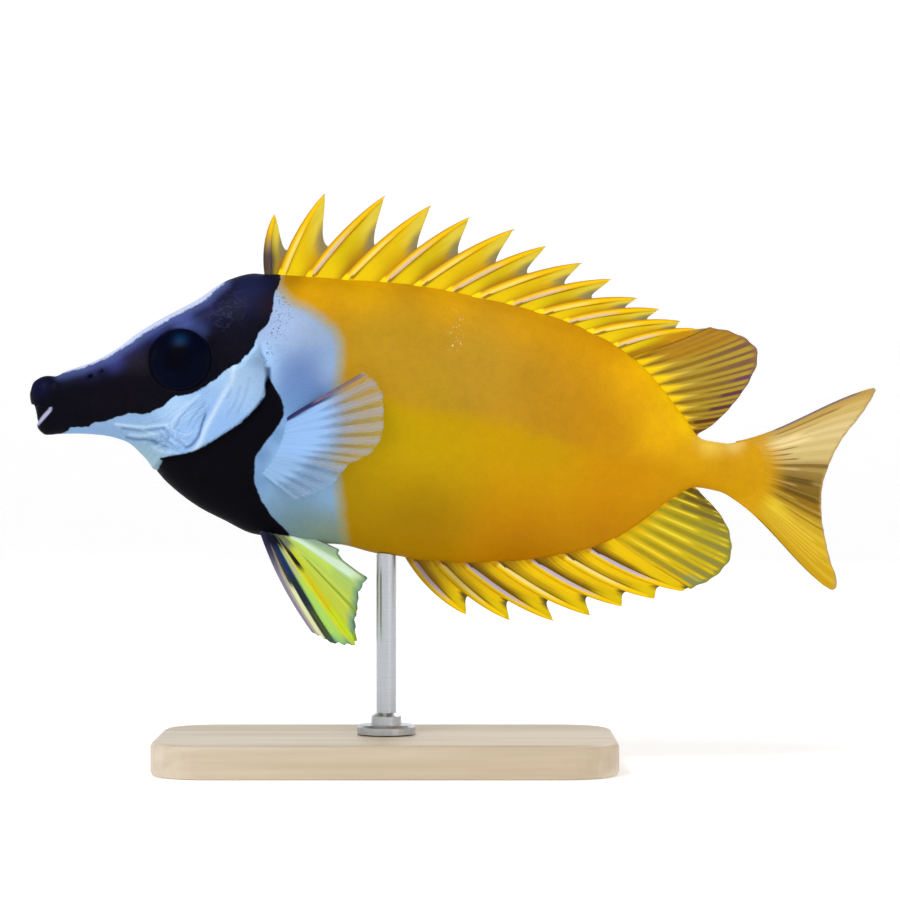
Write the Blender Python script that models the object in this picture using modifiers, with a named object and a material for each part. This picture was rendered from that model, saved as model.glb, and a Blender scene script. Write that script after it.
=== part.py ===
"""Foxface rabbitfish, life size, held on a plain display stand.

Units are metres and +Z is up. The head points along -X. The fish is modelled straight, in
its own frame: x runs from the snout to the tail along the body axis, z is the height above
that axis, and the left side is at -y. The empty fish_pose then tilts and lifts it.
"""

import math

import bmesh
import bpy
import numpy as np
from mathutils import Matrix, Vector

# Pose: the body axis falls from nose to tail, and the snout stands this far from the origin
NOSE_UP = math.radians(8.0)
SNOUT_X = -0.1007
SNOUT_Z = 0.0954

# Clearance that neighbouring pieces keep
GAP = 0.0003

# Body sections along the axis: x, top, bottom, half width
SECTIONS = (
    (0.0000, -0.0052, -0.0060, 0.0004),
    (0.0004, -0.0029, -0.0080, 0.0018),
    (0.0015, -0.0016, -0.0109, 0.0029),
    (0.0032, -0.0007, -0.0136, 0.0038),
    (0.0052, -0.0006, -0.0149, 0.0040),
    (0.0085, 0.0013, -0.0142, 0.0043),
    (0.0140, 0.0041, -0.0134, 0.0051),
    (0.0190, 0.0078, -0.0131, 0.0060),
    (0.0240, 0.0127, -0.0137, 0.0071),
    (0.0290, 0.0167, -0.0166, 0.0084),
    (0.0360, 0.0218, -0.0225, 0.0100),
    (0.0440, 0.0284, -0.0270, 0.0113),
    (0.0500, 0.0305, -0.0291, 0.0120),
    (0.0580, 0.0307, -0.0315, 0.0127),
    (0.0700, 0.0315, -0.0321, 0.0131),
    (0.0880, 0.0325, -0.0321, 0.0128),
    (0.1050, 0.0316, -0.0312, 0.0115),
    (0.1200, 0.0299, -0.0288, 0.0095),
    (0.1330, 0.0266, -0.0252, 0.0073),
    (0.1430, 0.0218, -0.0204, 0.0055),
    (0.1500, 0.0160, -0.0145, 0.0044),
    (0.1560, 0.0102, -0.0085, 0.0036),
    (0.1620, 0.0059, -0.0056, 0.0031),
    (0.1670, 0.0058, -0.0059, 0.0027),
    (0.1720, 0.0075, -0.0079, 0.0021),
    (0.1790, 0.0104, -0.0112, 0.0012),
)
WIDEST_ABOVE_MIDDLE = 0.08  # how far up the widest level lies, as a share of the half height

# Where the body is parted: the rear edge of the gill cover, and the root of the tail
GILL_EDGE = (
    (0.0508, 0.0400),
    (0.0510, 0.0260),
    (0.0532, 0.0130),
    (0.0557, 0.0068),
    (0.0556, 0.0024),
    (0.0538, -0.0020),
    (0.0470, -0.0090),
    (0.0400, -0.0141),
    (0.0342, -0.0162),
    (0.0322, -0.0196),
    (0.0300, -0.0300),
)
GILL_RAISE = 0.0008  # the cover stands this proud of the body at its edge
GILL_RAISE_REACH = 0.0055
GILL_TOP = 0.0080
TAIL_ROOT_X = 0.1618

# Before they are parted, head and torso overlap between these places on the axis
TORSO_START_X = 0.0285
HEAD_END_X = 0.0640
SNOUT_END_X = 0.0085  # the rings of the head stand closer together ahead of this

# Half sizes of the blocks that part the body: beyond its sides, and beyond back and belly
CUT_HALF_WIDTH = 0.030
CUT_HALF_HEIGHT = 0.045

# Rear edge of the tail's flesh, a shallow arc that the tail fin grows from
TAIL_END_X = 0.1782
TAIL_END_BOW = 0.0046
TAIL_END_MIDDLE = -0.0006
TAIL_END_HALF = 0.0089

# Eye: middle of the orbit, the way it looks (left side), and the eyeball in it
EYE_X = 0.0344
EYE_Z = 0.0076
EYE_OUT = 0.0089
EYE_LOOK = Vector((-0.19, -1.0, 0.14)).normalized()
EYEBALL_RADIUS = 0.0080
EYEBALL_DEPTH = 0.0033
EYEBALL_SUNK = 0.0014
ORBIT_FLAT = 0.0090  # the head is level with the orbit out to here
ORBIT_FADE = 0.0070
ORBIT_MOST = 0.0009  # the most that the head's surface moves for that
EYE_RIM_RADIUS = 0.0078
EYE_RIM_THICKNESS = 0.0008

# Mouth: corner, and where the edges of the two lips run to in front of the snout
MOUTH_CORNER = (0.0062, -0.0092)
MOUTH_UPPER = (-0.0020, -0.0081)
MOUTH_LOWER = (-0.0020, -0.0168)
MOUTH_DEPTH = 0.0011
LIP_GROOVE_X = 0.0055
LIP_GROOVE_DEPTH = 0.0005
LIP_GROOVE_WIDTH = 0.0008

# Nostrils: x, z and radius of the pit
NOSTRILS = ((0.0136, 0.0006, 0.0008), (0.0162, 0.0022, 0.0006))

# Fin thickness, from the middle plane to one face
WEB_HALF = 0.00027
WEB_ROOT_HALF = 0.00055
SPINE_TIP = 0.00013
FIN_DIP = 0.05  # how far the web's edge curves in between two spines, as a share of its height
FOOT_SHARE = 0.3  # the most that one side of a ray takes of the room to its neighbour's root

# Spiny dorsal fin: root, length and lean of each spine
DORSAL_SPINE_X = (
    0.0532, 0.0558, 0.0622, 0.0711, 0.0800, 0.0880, 0.0958,
    0.1026, 0.1106, 0.1180, 0.1245, 0.1308, 0.1372,
)
DORSAL_SPINE_LENGTHS = (
    0.0152, 0.0221, 0.0264, 0.0268, 0.0259, 0.0266, 0.0255,
    0.0268, 0.0254, 0.0236, 0.0232, 0.0225, 0.0198,
)
DORSAL_SPINE_LEANS = (92, 69, 54, 47, 43, 37, 32, 25, 21, 16, 15, 13, 16)
DORSAL_WEB_NOTCH = (0.28, 0.74)  # where the web meets the front of the first and last spine
DORSAL_SPINE_RADIUS = (0.00090, 0.00074)
DORSAL_SPINE_BOW = 0.0018

# Soft dorsal fin: ten rays, and the rounded outline that their tips follow
DORSAL_SOFT_RAYS = 10
DORSAL_SOFT_X = (0.1420, 0.1590)
DORSAL_SOFT_TIPS = (
    (0.1592, 0.0328),
    (0.1655, 0.0321),
    (0.1716, 0.0290),
    (0.1714, 0.0236),
    (0.1685, 0.0172),
    (0.1615, 0.0082),
)

# Spiny anal fin, the same way, below the belly
ANAL_SPINE_X = (0.0960, 0.1022, 0.1082, 0.1157, 0.1238, 0.1314, 0.1372)
ANAL_SPINE_LENGTHS = (0.0189, 0.0226, 0.0262, 0.0267, 0.0254, 0.0251, 0.0257)
ANAL_SPINE_LEANS = (37, 30, 24, 20, 17, 15, 14)
ANAL_WEB_NOTCH = (0.46, 0.78)
ANAL_SPINE_RADIUS = (0.00088, 0.00078)
ANAL_SPINE_BOW = 0.0019

# Soft anal fin
ANAL_SOFT_RAYS = 9
ANAL_SOFT_X = (0.1416, 0.1597)
ANAL_SOFT_TIPS = (
    (0.1640, -0.0294),
    (0.1690, -0.0256),
    (0.1714, -0.0196),
    (0.1706, -0.0152),
    (0.1680, -0.0112),
    (0.1622, -0.0068),
)

# Tail fin: rays from the arc at the end of the tail to a forked edge
TAIL_RAYS = 17
TAIL_TIPS = (
    (0.2007, 0.0238),
    (0.1986, 0.0178),
    (0.1944, 0.0104),
    (0.1923, 0.0042),
    (0.1914, -0.0016),
    (0.1922, -0.0082),
    (0.1938, -0.0134),
    (0.1960, -0.0190),
    (0.1982, -0.0228),
    (0.1972, -0.0252),
)
TAIL_UPPER_BOW = -0.0002
TAIL_LOWER_BOW = 0.0005

# Breast fins: root line on the flank, rays, outline, and how they stand off the body
PECTORAL_ROOT = ((0.0612, -0.0036), (0.0568, -0.0150))
PECTORAL_RAYS = 14
PECTORAL_TIPS = (
    (0.0791, 0.0103),
    (0.0818, 0.0087),
    (0.0843, 0.0056),
    (0.0855, -0.0030),
    (0.0838, -0.0078),
    (0.0784, -0.0120),
    (0.0752, -0.0172),
    (0.0672, -0.0212),
)
PECTORAL_SPLAY = 0.30
PECTORAL_CURL = 5.0
PECTORAL_SUNK = 0.0006

# Belly fins: an outer spine, three soft rays and an inner spine that a web ties to the belly
PELVIC_ROOT = ((0.0586, -0.0300), (0.0800, -0.0302))
PELVIC_PLACES = (0.0012, 0.0028, 0.0042, 0.0055, 0.0070, 0.0125)
PELVIC_TIPS = (
    (0.0756, -0.0526),
    (0.0800, -0.0542),
    (0.0858, -0.0540),
    (0.0849, -0.0462),
    (0.0863, -0.0384),
    (0.0785, -0.0324),
)
PELVIC_BOWS = (-0.0022, -0.0012, 0.0, 0.0, 0.0, 0.0)
PELVIC_DIPS = (0.0, 0.0, 0.10, 0.10, 0.24)
PELVIC_SPINES = (0, 4)
PELVIC_BESIDE_MIDDLE = 0.0026
PELVIC_SPLAY = 0.26

# Stand: a rounded plate and one turned rod up to the belly
PLATE_SIZE = (0.1100, 0.0620, 0.0080)
PLATE_X = -0.0160
PLATE_CORNER = 0.0130
PLATE_EDGE = 0.0012
ROD_RADIUS = 0.0024
ROD_FOOT_RADIUS = 0.0070
ROD_FOOT_HEIGHT = 0.0022
ROD_COLLAR_RADIUS = 0.0036
ROD_COLLAR_HEIGHT = 0.0050
ROD_TOP = 0.0640

# Edges that turn more than this stay sharp
SHARP_ANGLE = math.radians(38)

# Colours, linear, from the photo
YELLOW = (0.62, 0.33, 0.01)
FIN_YELLOW = (0.68, 0.45, 0.02)
MASK = (0.012, 0.012, 0.030)
EYE_DARK = (0.004, 0.006, 0.014)
CLEAR_FIN = (0.50, 0.55, 0.50)
LIME = (0.42, 0.55, 0.08)
PALE_WOOD = (0.62, 0.55, 0.46)
STEEL = (0.56, 0.57, 0.58)


def smooth_curve(knots, values, at):
    """A cubic through the values, with slopes that never overshoot a peak."""
    knots, values, at = (np.asarray(v, float) for v in (knots, values, at))
    step = np.diff(knots)
    rise = np.diff(values) / step
    slope = np.zeros_like(values)
    slope[0], slope[-1] = rise[0], rise[-1]
    before, after = rise[:-1], rise[1:]
    same_way = before * after > 0
    total = np.where(same_way, before + after, 1.0)
    slope[1:-1] = np.where(same_way, 2 * before * after / total, 0.0)
    i = np.clip(np.searchsorted(knots, at, side="right") - 1, 0, len(step) - 1)
    t = (at - knots[i]) / step[i]
    start = (1 + 2 * t) * (1 - t) ** 2 * values[i] + t * (1 - t) ** 2 * step[i] * slope[i]
    end = t * t * (3 - 2 * t) * values[i + 1] + t * t * (t - 1) * step[i] * slope[i + 1]
    return start + end


def smooth_path(points, count):
    """count points along a smooth line through the given points, evenly spread by length."""
    points = np.asarray(points, float)
    length = np.concatenate([[0], np.cumsum(np.linalg.norm(np.diff(points, axis=0), axis=1))])
    at = np.linspace(0, length[-1], count)
    return np.stack([smooth_curve(length, axis, at) for axis in points.T], axis=1)


def fade(value, start, end):
    """1 up to start and 0 past end, with a soft step between them."""
    t = np.clip((np.asarray(value, float) - start) / (end - start), 0, 1)
    return 1 - t * t * (3 - 2 * t)


class Line:
    """A polyline in the side view that can be read at any distance along it."""

    def __init__(self, points):
        self.points = np.asarray(points, float)
        steps = np.linalg.norm(np.diff(self.points, axis=0), axis=1)
        self.lengths = np.concatenate([[0], np.cumsum(steps)])

    def at(self, distance):
        """The point at a distance along the line, which runs on straight past its ends."""
        inside = np.clip(distance, 0, self.lengths[-1])
        point = np.array([np.interp(inside, self.lengths, axis) for axis in self.points.T])
        return point + (distance - inside) * self.direction(inside)

    def direction(self, distance):
        k = int(np.clip(np.searchsorted(self.lengths, distance), 1, len(self.lengths) - 1))
        ahead = self.points[k] - self.points[k - 1]
        return ahead / np.linalg.norm(ahead)

    def distance_to_x(self, x):
        return np.interp(x, self.points[:, 0], self.lengths)


# The sections, read off along the outline so that the blunt snout stays round
SECTION_SAMPLES = 700
DENSE = smooth_path(SECTIONS, SECTION_SAMPLES)


def section(x, grow=0.0):
    """(middle height, half height, half width) of the body at x, optionally grown outwards."""
    top, bottom, half_width = (np.interp(x, DENSE[:, 0], DENSE[:, k]) for k in (1, 2, 3))
    return (top + bottom) / 2, (top - bottom) / 2 + grow, half_width + grow


def surface_y(x, z):
    """Distance of the flank from the middle plane at a place in the side view."""
    middle, half_height, half_width = section(x)
    up = np.clip((z - middle) / half_height - WIDEST_ABOVE_MIDDLE, -1, 1)
    return half_width * np.sqrt(1 - up**2)


def ring(x, sides, grow=0.0):
    """The points of one body section."""
    middle, half_height, half_width = section(x, grow)
    turn = 2 * math.pi * np.arange(sides) / sides
    lift = np.cos(turn) + WIDEST_ABOVE_MIDDLE * np.sin(turn) ** 2
    return np.stack(
        [np.full(sides, x), half_width * np.sin(turn), middle + half_height * lift], axis=1
    )


def ring_places(start, end, count):
    """x of rings from start to end, closer together where the outline turns fast."""
    part = DENSE[(DENSE[:, 0] >= start) & (DENSE[:, 0] <= end)]
    lengths = Line(part).lengths
    return np.interp(np.linspace(0, lengths[-1], count), lengths, part[:, 0])


def solid_object(name, work, pose, collection):
    """Ends a bmesh as an object that hangs from the pose empty, with its faces turned outwards."""
    bmesh.ops.recalc_face_normals(work, faces=work.faces)
    if work.calc_volume(signed=True) < 0:
        bmesh.ops.reverse_faces(work, faces=work.faces)
    mesh = bpy.data.meshes.new(name)
    work.to_mesh(mesh)
    work.free()
    obj = bpy.data.objects.new(name, mesh)
    obj.parent = pose
    collection.objects.link(obj)
    return obj


def built_object(name, points, faces, pose, collection):
    """An object from points and faces worked out by a loop."""
    work = bmesh.new()
    verts = [work.verts.new(tuple(p)) for p in points]
    for face in faces:
        work.faces.new([verts[k] for k in face])
    return solid_object(name, work, pose, collection)


def loft(name, places, sides, pose, collection, grow=0.0, shape=None):
    """A closed solid through the body sections at the given places."""
    points = np.concatenate([ring(x, sides, grow) for x in places])
    if shape:
        points = shape(points)
    faces = []
    for row in range(len(places) - 1):
        for k in range(sides):
            a, b = row * sides + k, row * sides + (k + 1) % sides
            faces.append((a, b, b + sides, a + sides))
    faces.append(range(sides))
    faces.append(range((len(places) - 1) * sides, len(places) * sides))
    return built_object(name, points, faces, pose, collection)


def prism(name, outline, half_width, pose, collection):
    """A cutter: a side-view outline pushed through from one side to the other."""
    work = bmesh.new()
    face = work.faces.new([work.verts.new((x, -half_width, z)) for x, z in outline])
    pushed = bmesh.ops.extrude_face_region(work, geom=[face])["geom"]
    moved = [item for item in pushed if isinstance(item, bmesh.types.BMVert)]
    bmesh.ops.translate(work, verts=moved, vec=(0, 2 * half_width, 0))
    return solid_object(name, work, pose, collection)


def moved_aside(points, distance):
    """A polyline moved sideways, to its right as it runs."""
    points = np.asarray(points, float)
    along = np.gradient(points, axis=0)
    along /= np.linalg.norm(along, axis=1)[:, None]
    return points + distance * np.stack([-along[:, 1], along[:, 0]], axis=1)


def boolean(obj, operation, other):
    """Adds an exact Boolean with one object or a whole collection."""
    modifier = obj.modifiers.new(operation.lower(), "BOOLEAN")
    modifier.operation = operation
    modifier.solver = "EXACT"
    if isinstance(other, bpy.types.Collection):
        modifier.operand_type = "COLLECTION"
        modifier.collection = other
    else:
        modifier.object = other
    return modifier


def apply_modifiers(obj):
    """Gives the object the mesh that its modifiers make, and removes them."""
    bpy.context.view_layer.update()
    graph = bpy.context.evaluated_depsgraph_get()
    made = bpy.data.meshes.new_from_object(obj.evaluated_get(graph))
    obj.modifiers.clear()
    obj.data = made


def hide_cutter(obj):
    obj.hide_render = True
    obj.display_type = "WIRE"


def finish(obj, name, colour, roughness, metallic=0.0):
    """Gives the object its material, and shades it smooth over its gentle edges."""
    material = bpy.data.materials.get(name) or bpy.data.materials.new(name)
    material.use_nodes = True
    shader = material.node_tree.nodes["Principled BSDF"]
    shader.inputs["Base Color"].default_value = (*colour, 1.0)
    shader.inputs["Roughness"].default_value = roughness
    shader.inputs["Metallic"].default_value = metallic
    obj.data.materials.clear()
    obj.data.materials.append(material)
    obj.data.shade_smooth()
    obj.data.set_sharp_from_angle(angle=SHARP_ANGLE)


def new_collection(name):
    collection = bpy.data.collections.new(name)
    bpy.context.scene.collection.children.link(collection)
    return collection


def eye_frame(side):
    """Matrix whose Z looks out of the orbit and whose origin is the orbit's middle."""
    look = Vector((EYE_LOOK.x, -side * EYE_LOOK.y, EYE_LOOK.z))
    turned = look.to_track_quat("Z", "Y").to_matrix().to_4x4()
    return Matrix.Translation((EYE_X, side * EYE_OUT, EYE_Z)) @ turned


def eyeball(name, side, grow, pose, collection, segments=20, rows=12):
    """A flattened ball sunk in the orbit."""
    work = bmesh.new()
    bmesh.ops.create_uvsphere(work, u_segments=segments, v_segments=rows, radius=1.0)
    radius, depth = EYEBALL_RADIUS + grow, EYEBALL_DEPTH + grow
    place = eye_frame(side) @ Matrix.Translation((0, 0, -EYEBALL_SUNK))
    work.transform(place @ Matrix.Diagonal((radius, radius, depth, 1.0)))
    return solid_object(name, work, pose, collection)


def eye_rim(side, pose, collection):
    """The ring of skin round one eye."""
    bpy.ops.mesh.primitive_torus_add(
        major_radius=EYE_RIM_RADIUS,
        minor_radius=EYE_RIM_THICKNESS,
        major_segments=28,
        minor_segments=6,
    )
    rim = bpy.context.object
    rim.data.transform(eye_frame(side))
    rim.parent = pose
    move_to(rim, collection)
    return rim


def distance_to_gill(points):
    """Side-view distance of each point from the rear edge of the gill cover."""
    edge = smooth_path(GILL_EDGE, 60)
    apart = points[:, None, [0, 2]] - edge[None]
    return np.linalg.norm(apart, axis=2).min(axis=1)


def shape_head(points):
    """Adds the lip groove, the level orbits and the raised gill cover to the plain head."""
    x, y, z = points.T
    side = np.sign(y)
    groove = LIP_GROOVE_DEPTH * np.exp(-(((x - LIP_GROOVE_X) / LIP_GROOVE_WIDTH) ** 2))
    groove *= fade(-z, -MOUTH_CORNER[1], -MOUTH_CORNER[1] + 0.002)
    y = y - side * groove * (np.abs(y) > 0.001)
    reach = np.hypot(x - EYE_X, z - EYE_Z)
    level = EYE_OUT - (EYE_LOOK.x * (x - EYE_X) + EYE_LOOK.z * (z - EYE_Z)) / abs(EYE_LOOK.y)
    move = np.clip(level - np.abs(y), -ORBIT_MOST, ORBIT_MOST)
    y = y + side * move * fade(reach, ORBIT_FLAT, ORBIT_FLAT + ORBIT_FADE)
    near = np.exp(-((distance_to_gill(points) / GILL_RAISE_REACH) ** 2))
    near *= fade(z, GILL_TOP, GILL_TOP + 0.008) * np.clip(np.abs(y) / 0.004, 0, 1)
    return np.stack([x, y + side * GILL_RAISE * near, z], axis=1)


def make_head(parts, cutters, pose):
    """The head back to the gill opening, with orbits, nostrils, lips and mouth."""
    snout = ring_places(0.0, SNOUT_END_X, 12)
    places = [*snout, *ring_places(SNOUT_END_X, HEAD_END_X, 27)[1:]]
    head = loft("head", places, 30, pose, parts, shape=shape_head)
    rims = new_collection("eye_rims")
    for side in (-1, 1):
        eye_rim(side, pose, rims)
    boolean(head, "UNION", rims)
    apply_modifiers(head)
    for obj in list(rims.objects):
        bpy.data.objects.remove(obj)

    edge = moved_aside(smooth_path(GILL_EDGE, 26), -GAP / 2)
    far_x = HEAD_END_X + GAP
    far = [(far_x, -CUT_HALF_HEIGHT), (far_x, CUT_HALF_HEIGHT)]
    behind_gill = prism("behind_gill", [*edge, *far], CUT_HALF_WIDTH, pose, cutters)
    boolean(head, "DIFFERENCE", behind_gill)
    gape_outline = [MOUTH_CORNER, MOUTH_UPPER, MOUTH_LOWER]
    gape = prism("gape", gape_outline, CUT_HALF_WIDTH, pose, cutters)
    inside = loft("mouth_inside", ring_places(0.0, 0.012, 14), 20, pose, cutters, -MOUTH_DEPTH)
    inside.location.x = MOUTH_DEPTH / 2
    boolean(gape, "DIFFERENCE", inside)
    boolean(head, "DIFFERENCE", gape)
    for side in (-1, 1):
        boolean(head, "DIFFERENCE", eyeball("socket", side, GAP, pose, cutters, 24, 14))
        for x, z, radius in NOSTRILS:
            boolean(head, "DIFFERENCE", nostril(x, z, radius, side, pose, cutters))
    finish(head, "mask_skin", MASK, 0.35)
    return head


def nostril(x, z, radius, side, pose, cutters):
    """A small ball that cuts one nostril pit."""
    work = bmesh.new()
    bmesh.ops.create_uvsphere(work, u_segments=10, v_segments=6, radius=radius)
    work.transform(Matrix.Translation((x, side * (surface_y(x, z) + radius / 3), z)))
    return solid_object("nostril", work, pose, cutters)


def make_torso(parts, cutters, pose):
    """The trunk, from the gill opening to the root of the tail."""
    places = ring_places(TORSO_START_X, TAIL_ROOT_X - GAP / 2, 34)
    torso = loft("torso", places, 28, pose, parts)
    edge = moved_aside(smooth_path(GILL_EDGE, 26), GAP / 2)
    near_x = TORSO_START_X - GAP
    near = [(near_x, -CUT_HALF_HEIGHT), (near_x, CUT_HALF_HEIGHT)]
    ahead_of_gill = prism("ahead_of_gill", [*edge, *near], CUT_HALF_WIDTH, pose, cutters)
    boolean(torso, "DIFFERENCE", ahead_of_gill)
    finish(torso, "body_skin", YELLOW, 0.35)
    return torso


def tail_end(share, shift=0.0):
    """A point of the arc at the end of the tail. share runs from -1 at the top to 1 below."""
    return (
        TAIL_END_X + shift - TAIL_END_BOW * share * share,
        TAIL_END_MIDDLE - share * TAIL_END_HALF,
    )


def make_tail(parts, cutters, pose):
    """The tail's stalk, cut behind to the arc that carries the tail fin."""
    places = ring_places(TAIL_ROOT_X + GAP / 2, SECTIONS[-1][0], 10)
    tail = loft("tail", places, 24, pose, parts)
    arc = [tail_end(share) for share in np.linspace(-1.6, 1.6, 17)]
    far_x = SECTIONS[-1][0] + GAP
    behind = [(far_x, arc[-1][1]), (far_x, arc[0][1])]
    behind_tail = prism("behind_tail", [*arc, *behind], CUT_HALF_WIDTH, pose, cutters)
    boolean(tail, "DIFFERENCE", behind_tail)
    finish(tail, "body_skin", YELLOW, 0.35)
    return tail


class Ray:
    """A spine or a soft ray in the side view, from a place on its fin's root line to its tip."""

    def __init__(self, root, place, tip, bow, widths, halves, edge=None, edge_at=0.0):
        self.place = place
        self.edge, self.edge_at = edge, edge_at  # the outline that its tip lies on, and where
        self.base = root.at(place)
        self.tip = np.asarray(tip, float)
        self.widths = widths  # from its middle to its foot on the web, at the root and the tip
        self.halves = halves  # from the middle plane to its crest, at the root and the tip
        chord = self.tip - self.base
        self.length = np.linalg.norm(chord)
        self.control = (self.base + self.tip) / 2 + bow * np.array([-chord[1], chord[0]]) / self.length
        crossed = np.cross(chord / self.length, root.direction(place))
        self.meets = max(abs(crossed), 0.35)

    def at(self, share):
        return (
            (1 - share) ** 2 * self.base
            + 2 * share * (1 - share) * self.control
            + share**2 * self.tip
        )

    def foot(self, share, side, turn):
        """A point where the ray's front (side 1) or rear (-1) meets the web."""
        if self.edge and share > 0.999:
            return self.edge.at(self.edge_at - side * self.width(1))
        return self.at(share) + side * self.width(share) * self.forward(share, turn)

    def forward(self, share, turn):
        """Unit vector across the ray, towards the fin's front edge."""
        along = 2 * (1 - share) * (self.control - self.base) + 2 * share * (self.tip - self.control)
        along /= np.linalg.norm(along)
        return turn * np.array([-along[1], along[0]])

    def width(self, share):
        return self.widths[0] + (self.widths[1] - self.widths[0]) * share

    def half(self, share):
        return self.halves[0] + (self.halves[1] - self.halves[0]) * share


def web_half(share):
    """Half thickness of the web between rays, thicker at the root."""
    return WEB_HALF + (WEB_ROOT_HALF - WEB_HALF) * float(fade(share, 0.0, 0.3))


class Sheet:
    """A fin's middle plane: points with a half thickness, in columns zipped into triangles."""

    def __init__(self, root, turn):
        self.root, self.turn = root, turn
        self.points, self.halves, self.triangles = [], [], []

    def column(self, points, halves):
        start = len(self.points)
        self.points += [tuple(p) for p in points]
        self.halves += list(halves)
        return list(range(start, len(self.points)))

    def ray_column(self, ray, place, side, shares):
        """The front foot (side 1), crest (0) or rear foot (-1) of a ray, up from the root line."""
        points, halves = [self.root.at(place)], []
        halves.append(ray.half(0) if side == 0 else WEB_ROOT_HALF)
        for share in shares:
            points.append(ray.foot(share, side, self.turn) if side else ray.at(share))
            thin = min(web_half(share), ray.half(share))
            halves.append(ray.half(share) if side == 0 else thin)
        return self.column(points, halves)

    def strip(self, left, right):
        """Triangles between two columns, stepping up whichever is behind."""
        i, j = 0, 0
        while i < len(left) - 1 or j < len(right) - 1:
            next_left = (i + 1) / (len(left) - 1)
            next_right = (j + 1) / (len(right) - 1)
            if j == len(right) - 1 or (i < len(left) - 1 and next_left <= next_right):
                self.triangles.append((left[i], right[j], left[i + 1]))
                i += 1
            else:
                self.triangles.append((left[i], right[j], right[j + 1]))
                j += 1

    def solid(self, name, place, pose, collection):
        """The closed solid: both faces split alike, and a rim along every free edge."""
        count = len(self.points)
        pairs = [place(p[0], p[1], h) for p, h in zip(self.points, self.halves)]
        points = [pair[0] for pair in pairs] + [pair[1] for pair in pairs]
        faces = list(self.triangles)
        faces += [(a + count, c + count, b + count) for a, b, c in self.triangles]
        edges = {}
        for a, b, c in self.triangles:
            for edge in ((a, b), (b, c), (c, a)):
                edges[edge] = edges.get(edge, 0) + 1
        for a, b in edges:
            if (b, a) not in edges:
                faces += [(b, a, a + count), (b, a + count, b + count)]
        return built_object(name, points, faces, pose, collection)


def fin_sheet(root, turn, rays, notches, reach=0.97, closing=None, levels=5, dips=None):
    """Columns and strips of a whole fin.

    notches[i] is the share of ray i that the web in front of it covers. Past it the ray stands
    free. reach is how near a ray's tip the web behind it starts, and dips[i] is how far the web
    behind ray i curves in. closing is a ray whose front foot only ends the last web.
    """
    dips = dips or [0.0] * len(rays)
    sheet = Sheet(root, turn)
    ends = list(rays) + ([closing] if closing else [])
    spread = [ray.width(0) / ray.meets for ray in ends]
    rear = [ray.place + s for ray, s in zip(ends, spread)]
    front = [ray.place - s for ray, s in zip(ends, spread)]
    for i in range(len(ends) - 1):
        room = ends[i + 1].place - ends[i].place
        rear[i] = min(rear[i], ends[i].place + FOOT_SHARE * room)
        front[i + 1] = max(front[i + 1], ends[i + 1].place - FOOT_SHARE * room)
    behind = None
    for i, ray in enumerate(ends):
        slant = math.sqrt(max(1 - ray.meets**2, 0)) / ray.meets
        first = max(0.13, 1.5 * ray.width(0) * slant / ray.length)
        covered = list(np.linspace(first, notches[i], levels))
        free = list(np.linspace(notches[i], 1, 4)[1:]) if notches[i] < 0.99 else []
        front_foot = sheet.ray_column(ray, front[i], 1, covered + free)
        if behind is not None:
            web_end = front_foot[: levels + 1]
            between = web_between(sheet, behind, web_end, dips[i - 1])
            for left, right in zip([behind, *between], [*between, web_end]):
                sheet.strip(left, right)
        if ray is closing:
            continue
        crest = sheet.ray_column(ray, ray.place, 0, list(np.linspace(first, 1, levels + len(free))))
        top = reach if reach < 1 else 1.0
        shares = list(np.linspace(first, top, levels)) + ([1.0] if reach < 1 else [])
        rear_foot = sheet.ray_column(ray, rear[i], -1, shares)
        sheet.strip(front_foot, crest)
        sheet.strip(crest, rear_foot)
        behind = rear_foot[: levels + 1]
    return sheet


def web_between(sheet, left, right, dip):
    """Columns that hang between two feet, so that the web's edge curves in by the share dip."""
    columns = []
    for across in (1 / 3, 2 / 3) if dip else ():
        points, halves = [], []
        root = (1 - across) * np.array(sheet.points[left[0]]) + across * np.array(sheet.points[right[0]])
        for k, (a, b) in enumerate(zip(left, right)):
            share = k / (len(left) - 1)
            level = (1 - across) * np.array(sheet.points[a]) + across * np.array(sheet.points[b])
            sag = 4 * across * (1 - across) * dip * share**2
            points.append(level + sag * (root - level))
            halves.append(web_half(share))
        columns.append(sheet.column(points, halves))
    return columns


def body_line(below, shift):
    """The back or the belly in the side view, moved off the body by shift."""
    x = np.linspace(GILL_EDGE[0][0], TAIL_ROOT_X, 220)
    middle, half_height, _ = section(x)
    z = middle - half_height - shift if below else middle + half_height + shift
    return Line(np.stack([x, z], axis=1))


def spine_rays(root, below, roots_x, lengths, leans, bow, radius):
    """Spines that lean back by their own angles and taper to sharp tips."""
    rays = []
    for k, (x, length, lean) in enumerate(zip(roots_x, lengths, leans)):
        place = root.distance_to_x(x)
        angle = math.radians(-lean if below else lean)
        tip = root.at(place) + length * np.array([math.cos(angle), math.sin(angle)])
        thick = radius[0] + (radius[1] - radius[0]) * k / (len(lengths) - 1)
        width, half = (thick, SPINE_TIP), (thick, SPINE_TIP)
        rays.append(Ray(root, place, tip, -bow if below else bow, width, half))
    return rays


def soft_rays(root, places, tips, count, bows=(0.0, 0.0), widths=(0.00034, 0.00046)):
    """Soft rays from evenly spread places to tips along a smooth outline."""
    edge = Line(smooth_path(tips, 8 * count))
    rays = []
    for k in range(count):
        share = k / (count - 1)
        place = places[0] + (places[1] - places[0]) * share
        bow = bows[0] + (bows[1] - bows[0]) * share
        edge_at = share * edge.lengths[-1]
        halves = (0.00062, 0.00042)
        rays.append(Ray(root, place, edge.at(edge_at), bow, widths, halves, edge, edge_at))
    return rays


def on_middle_plane(x, z, half):
    """The two faces of a fin on the fish's middle plane."""
    return (x, -half, z), (x, half, z)


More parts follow.
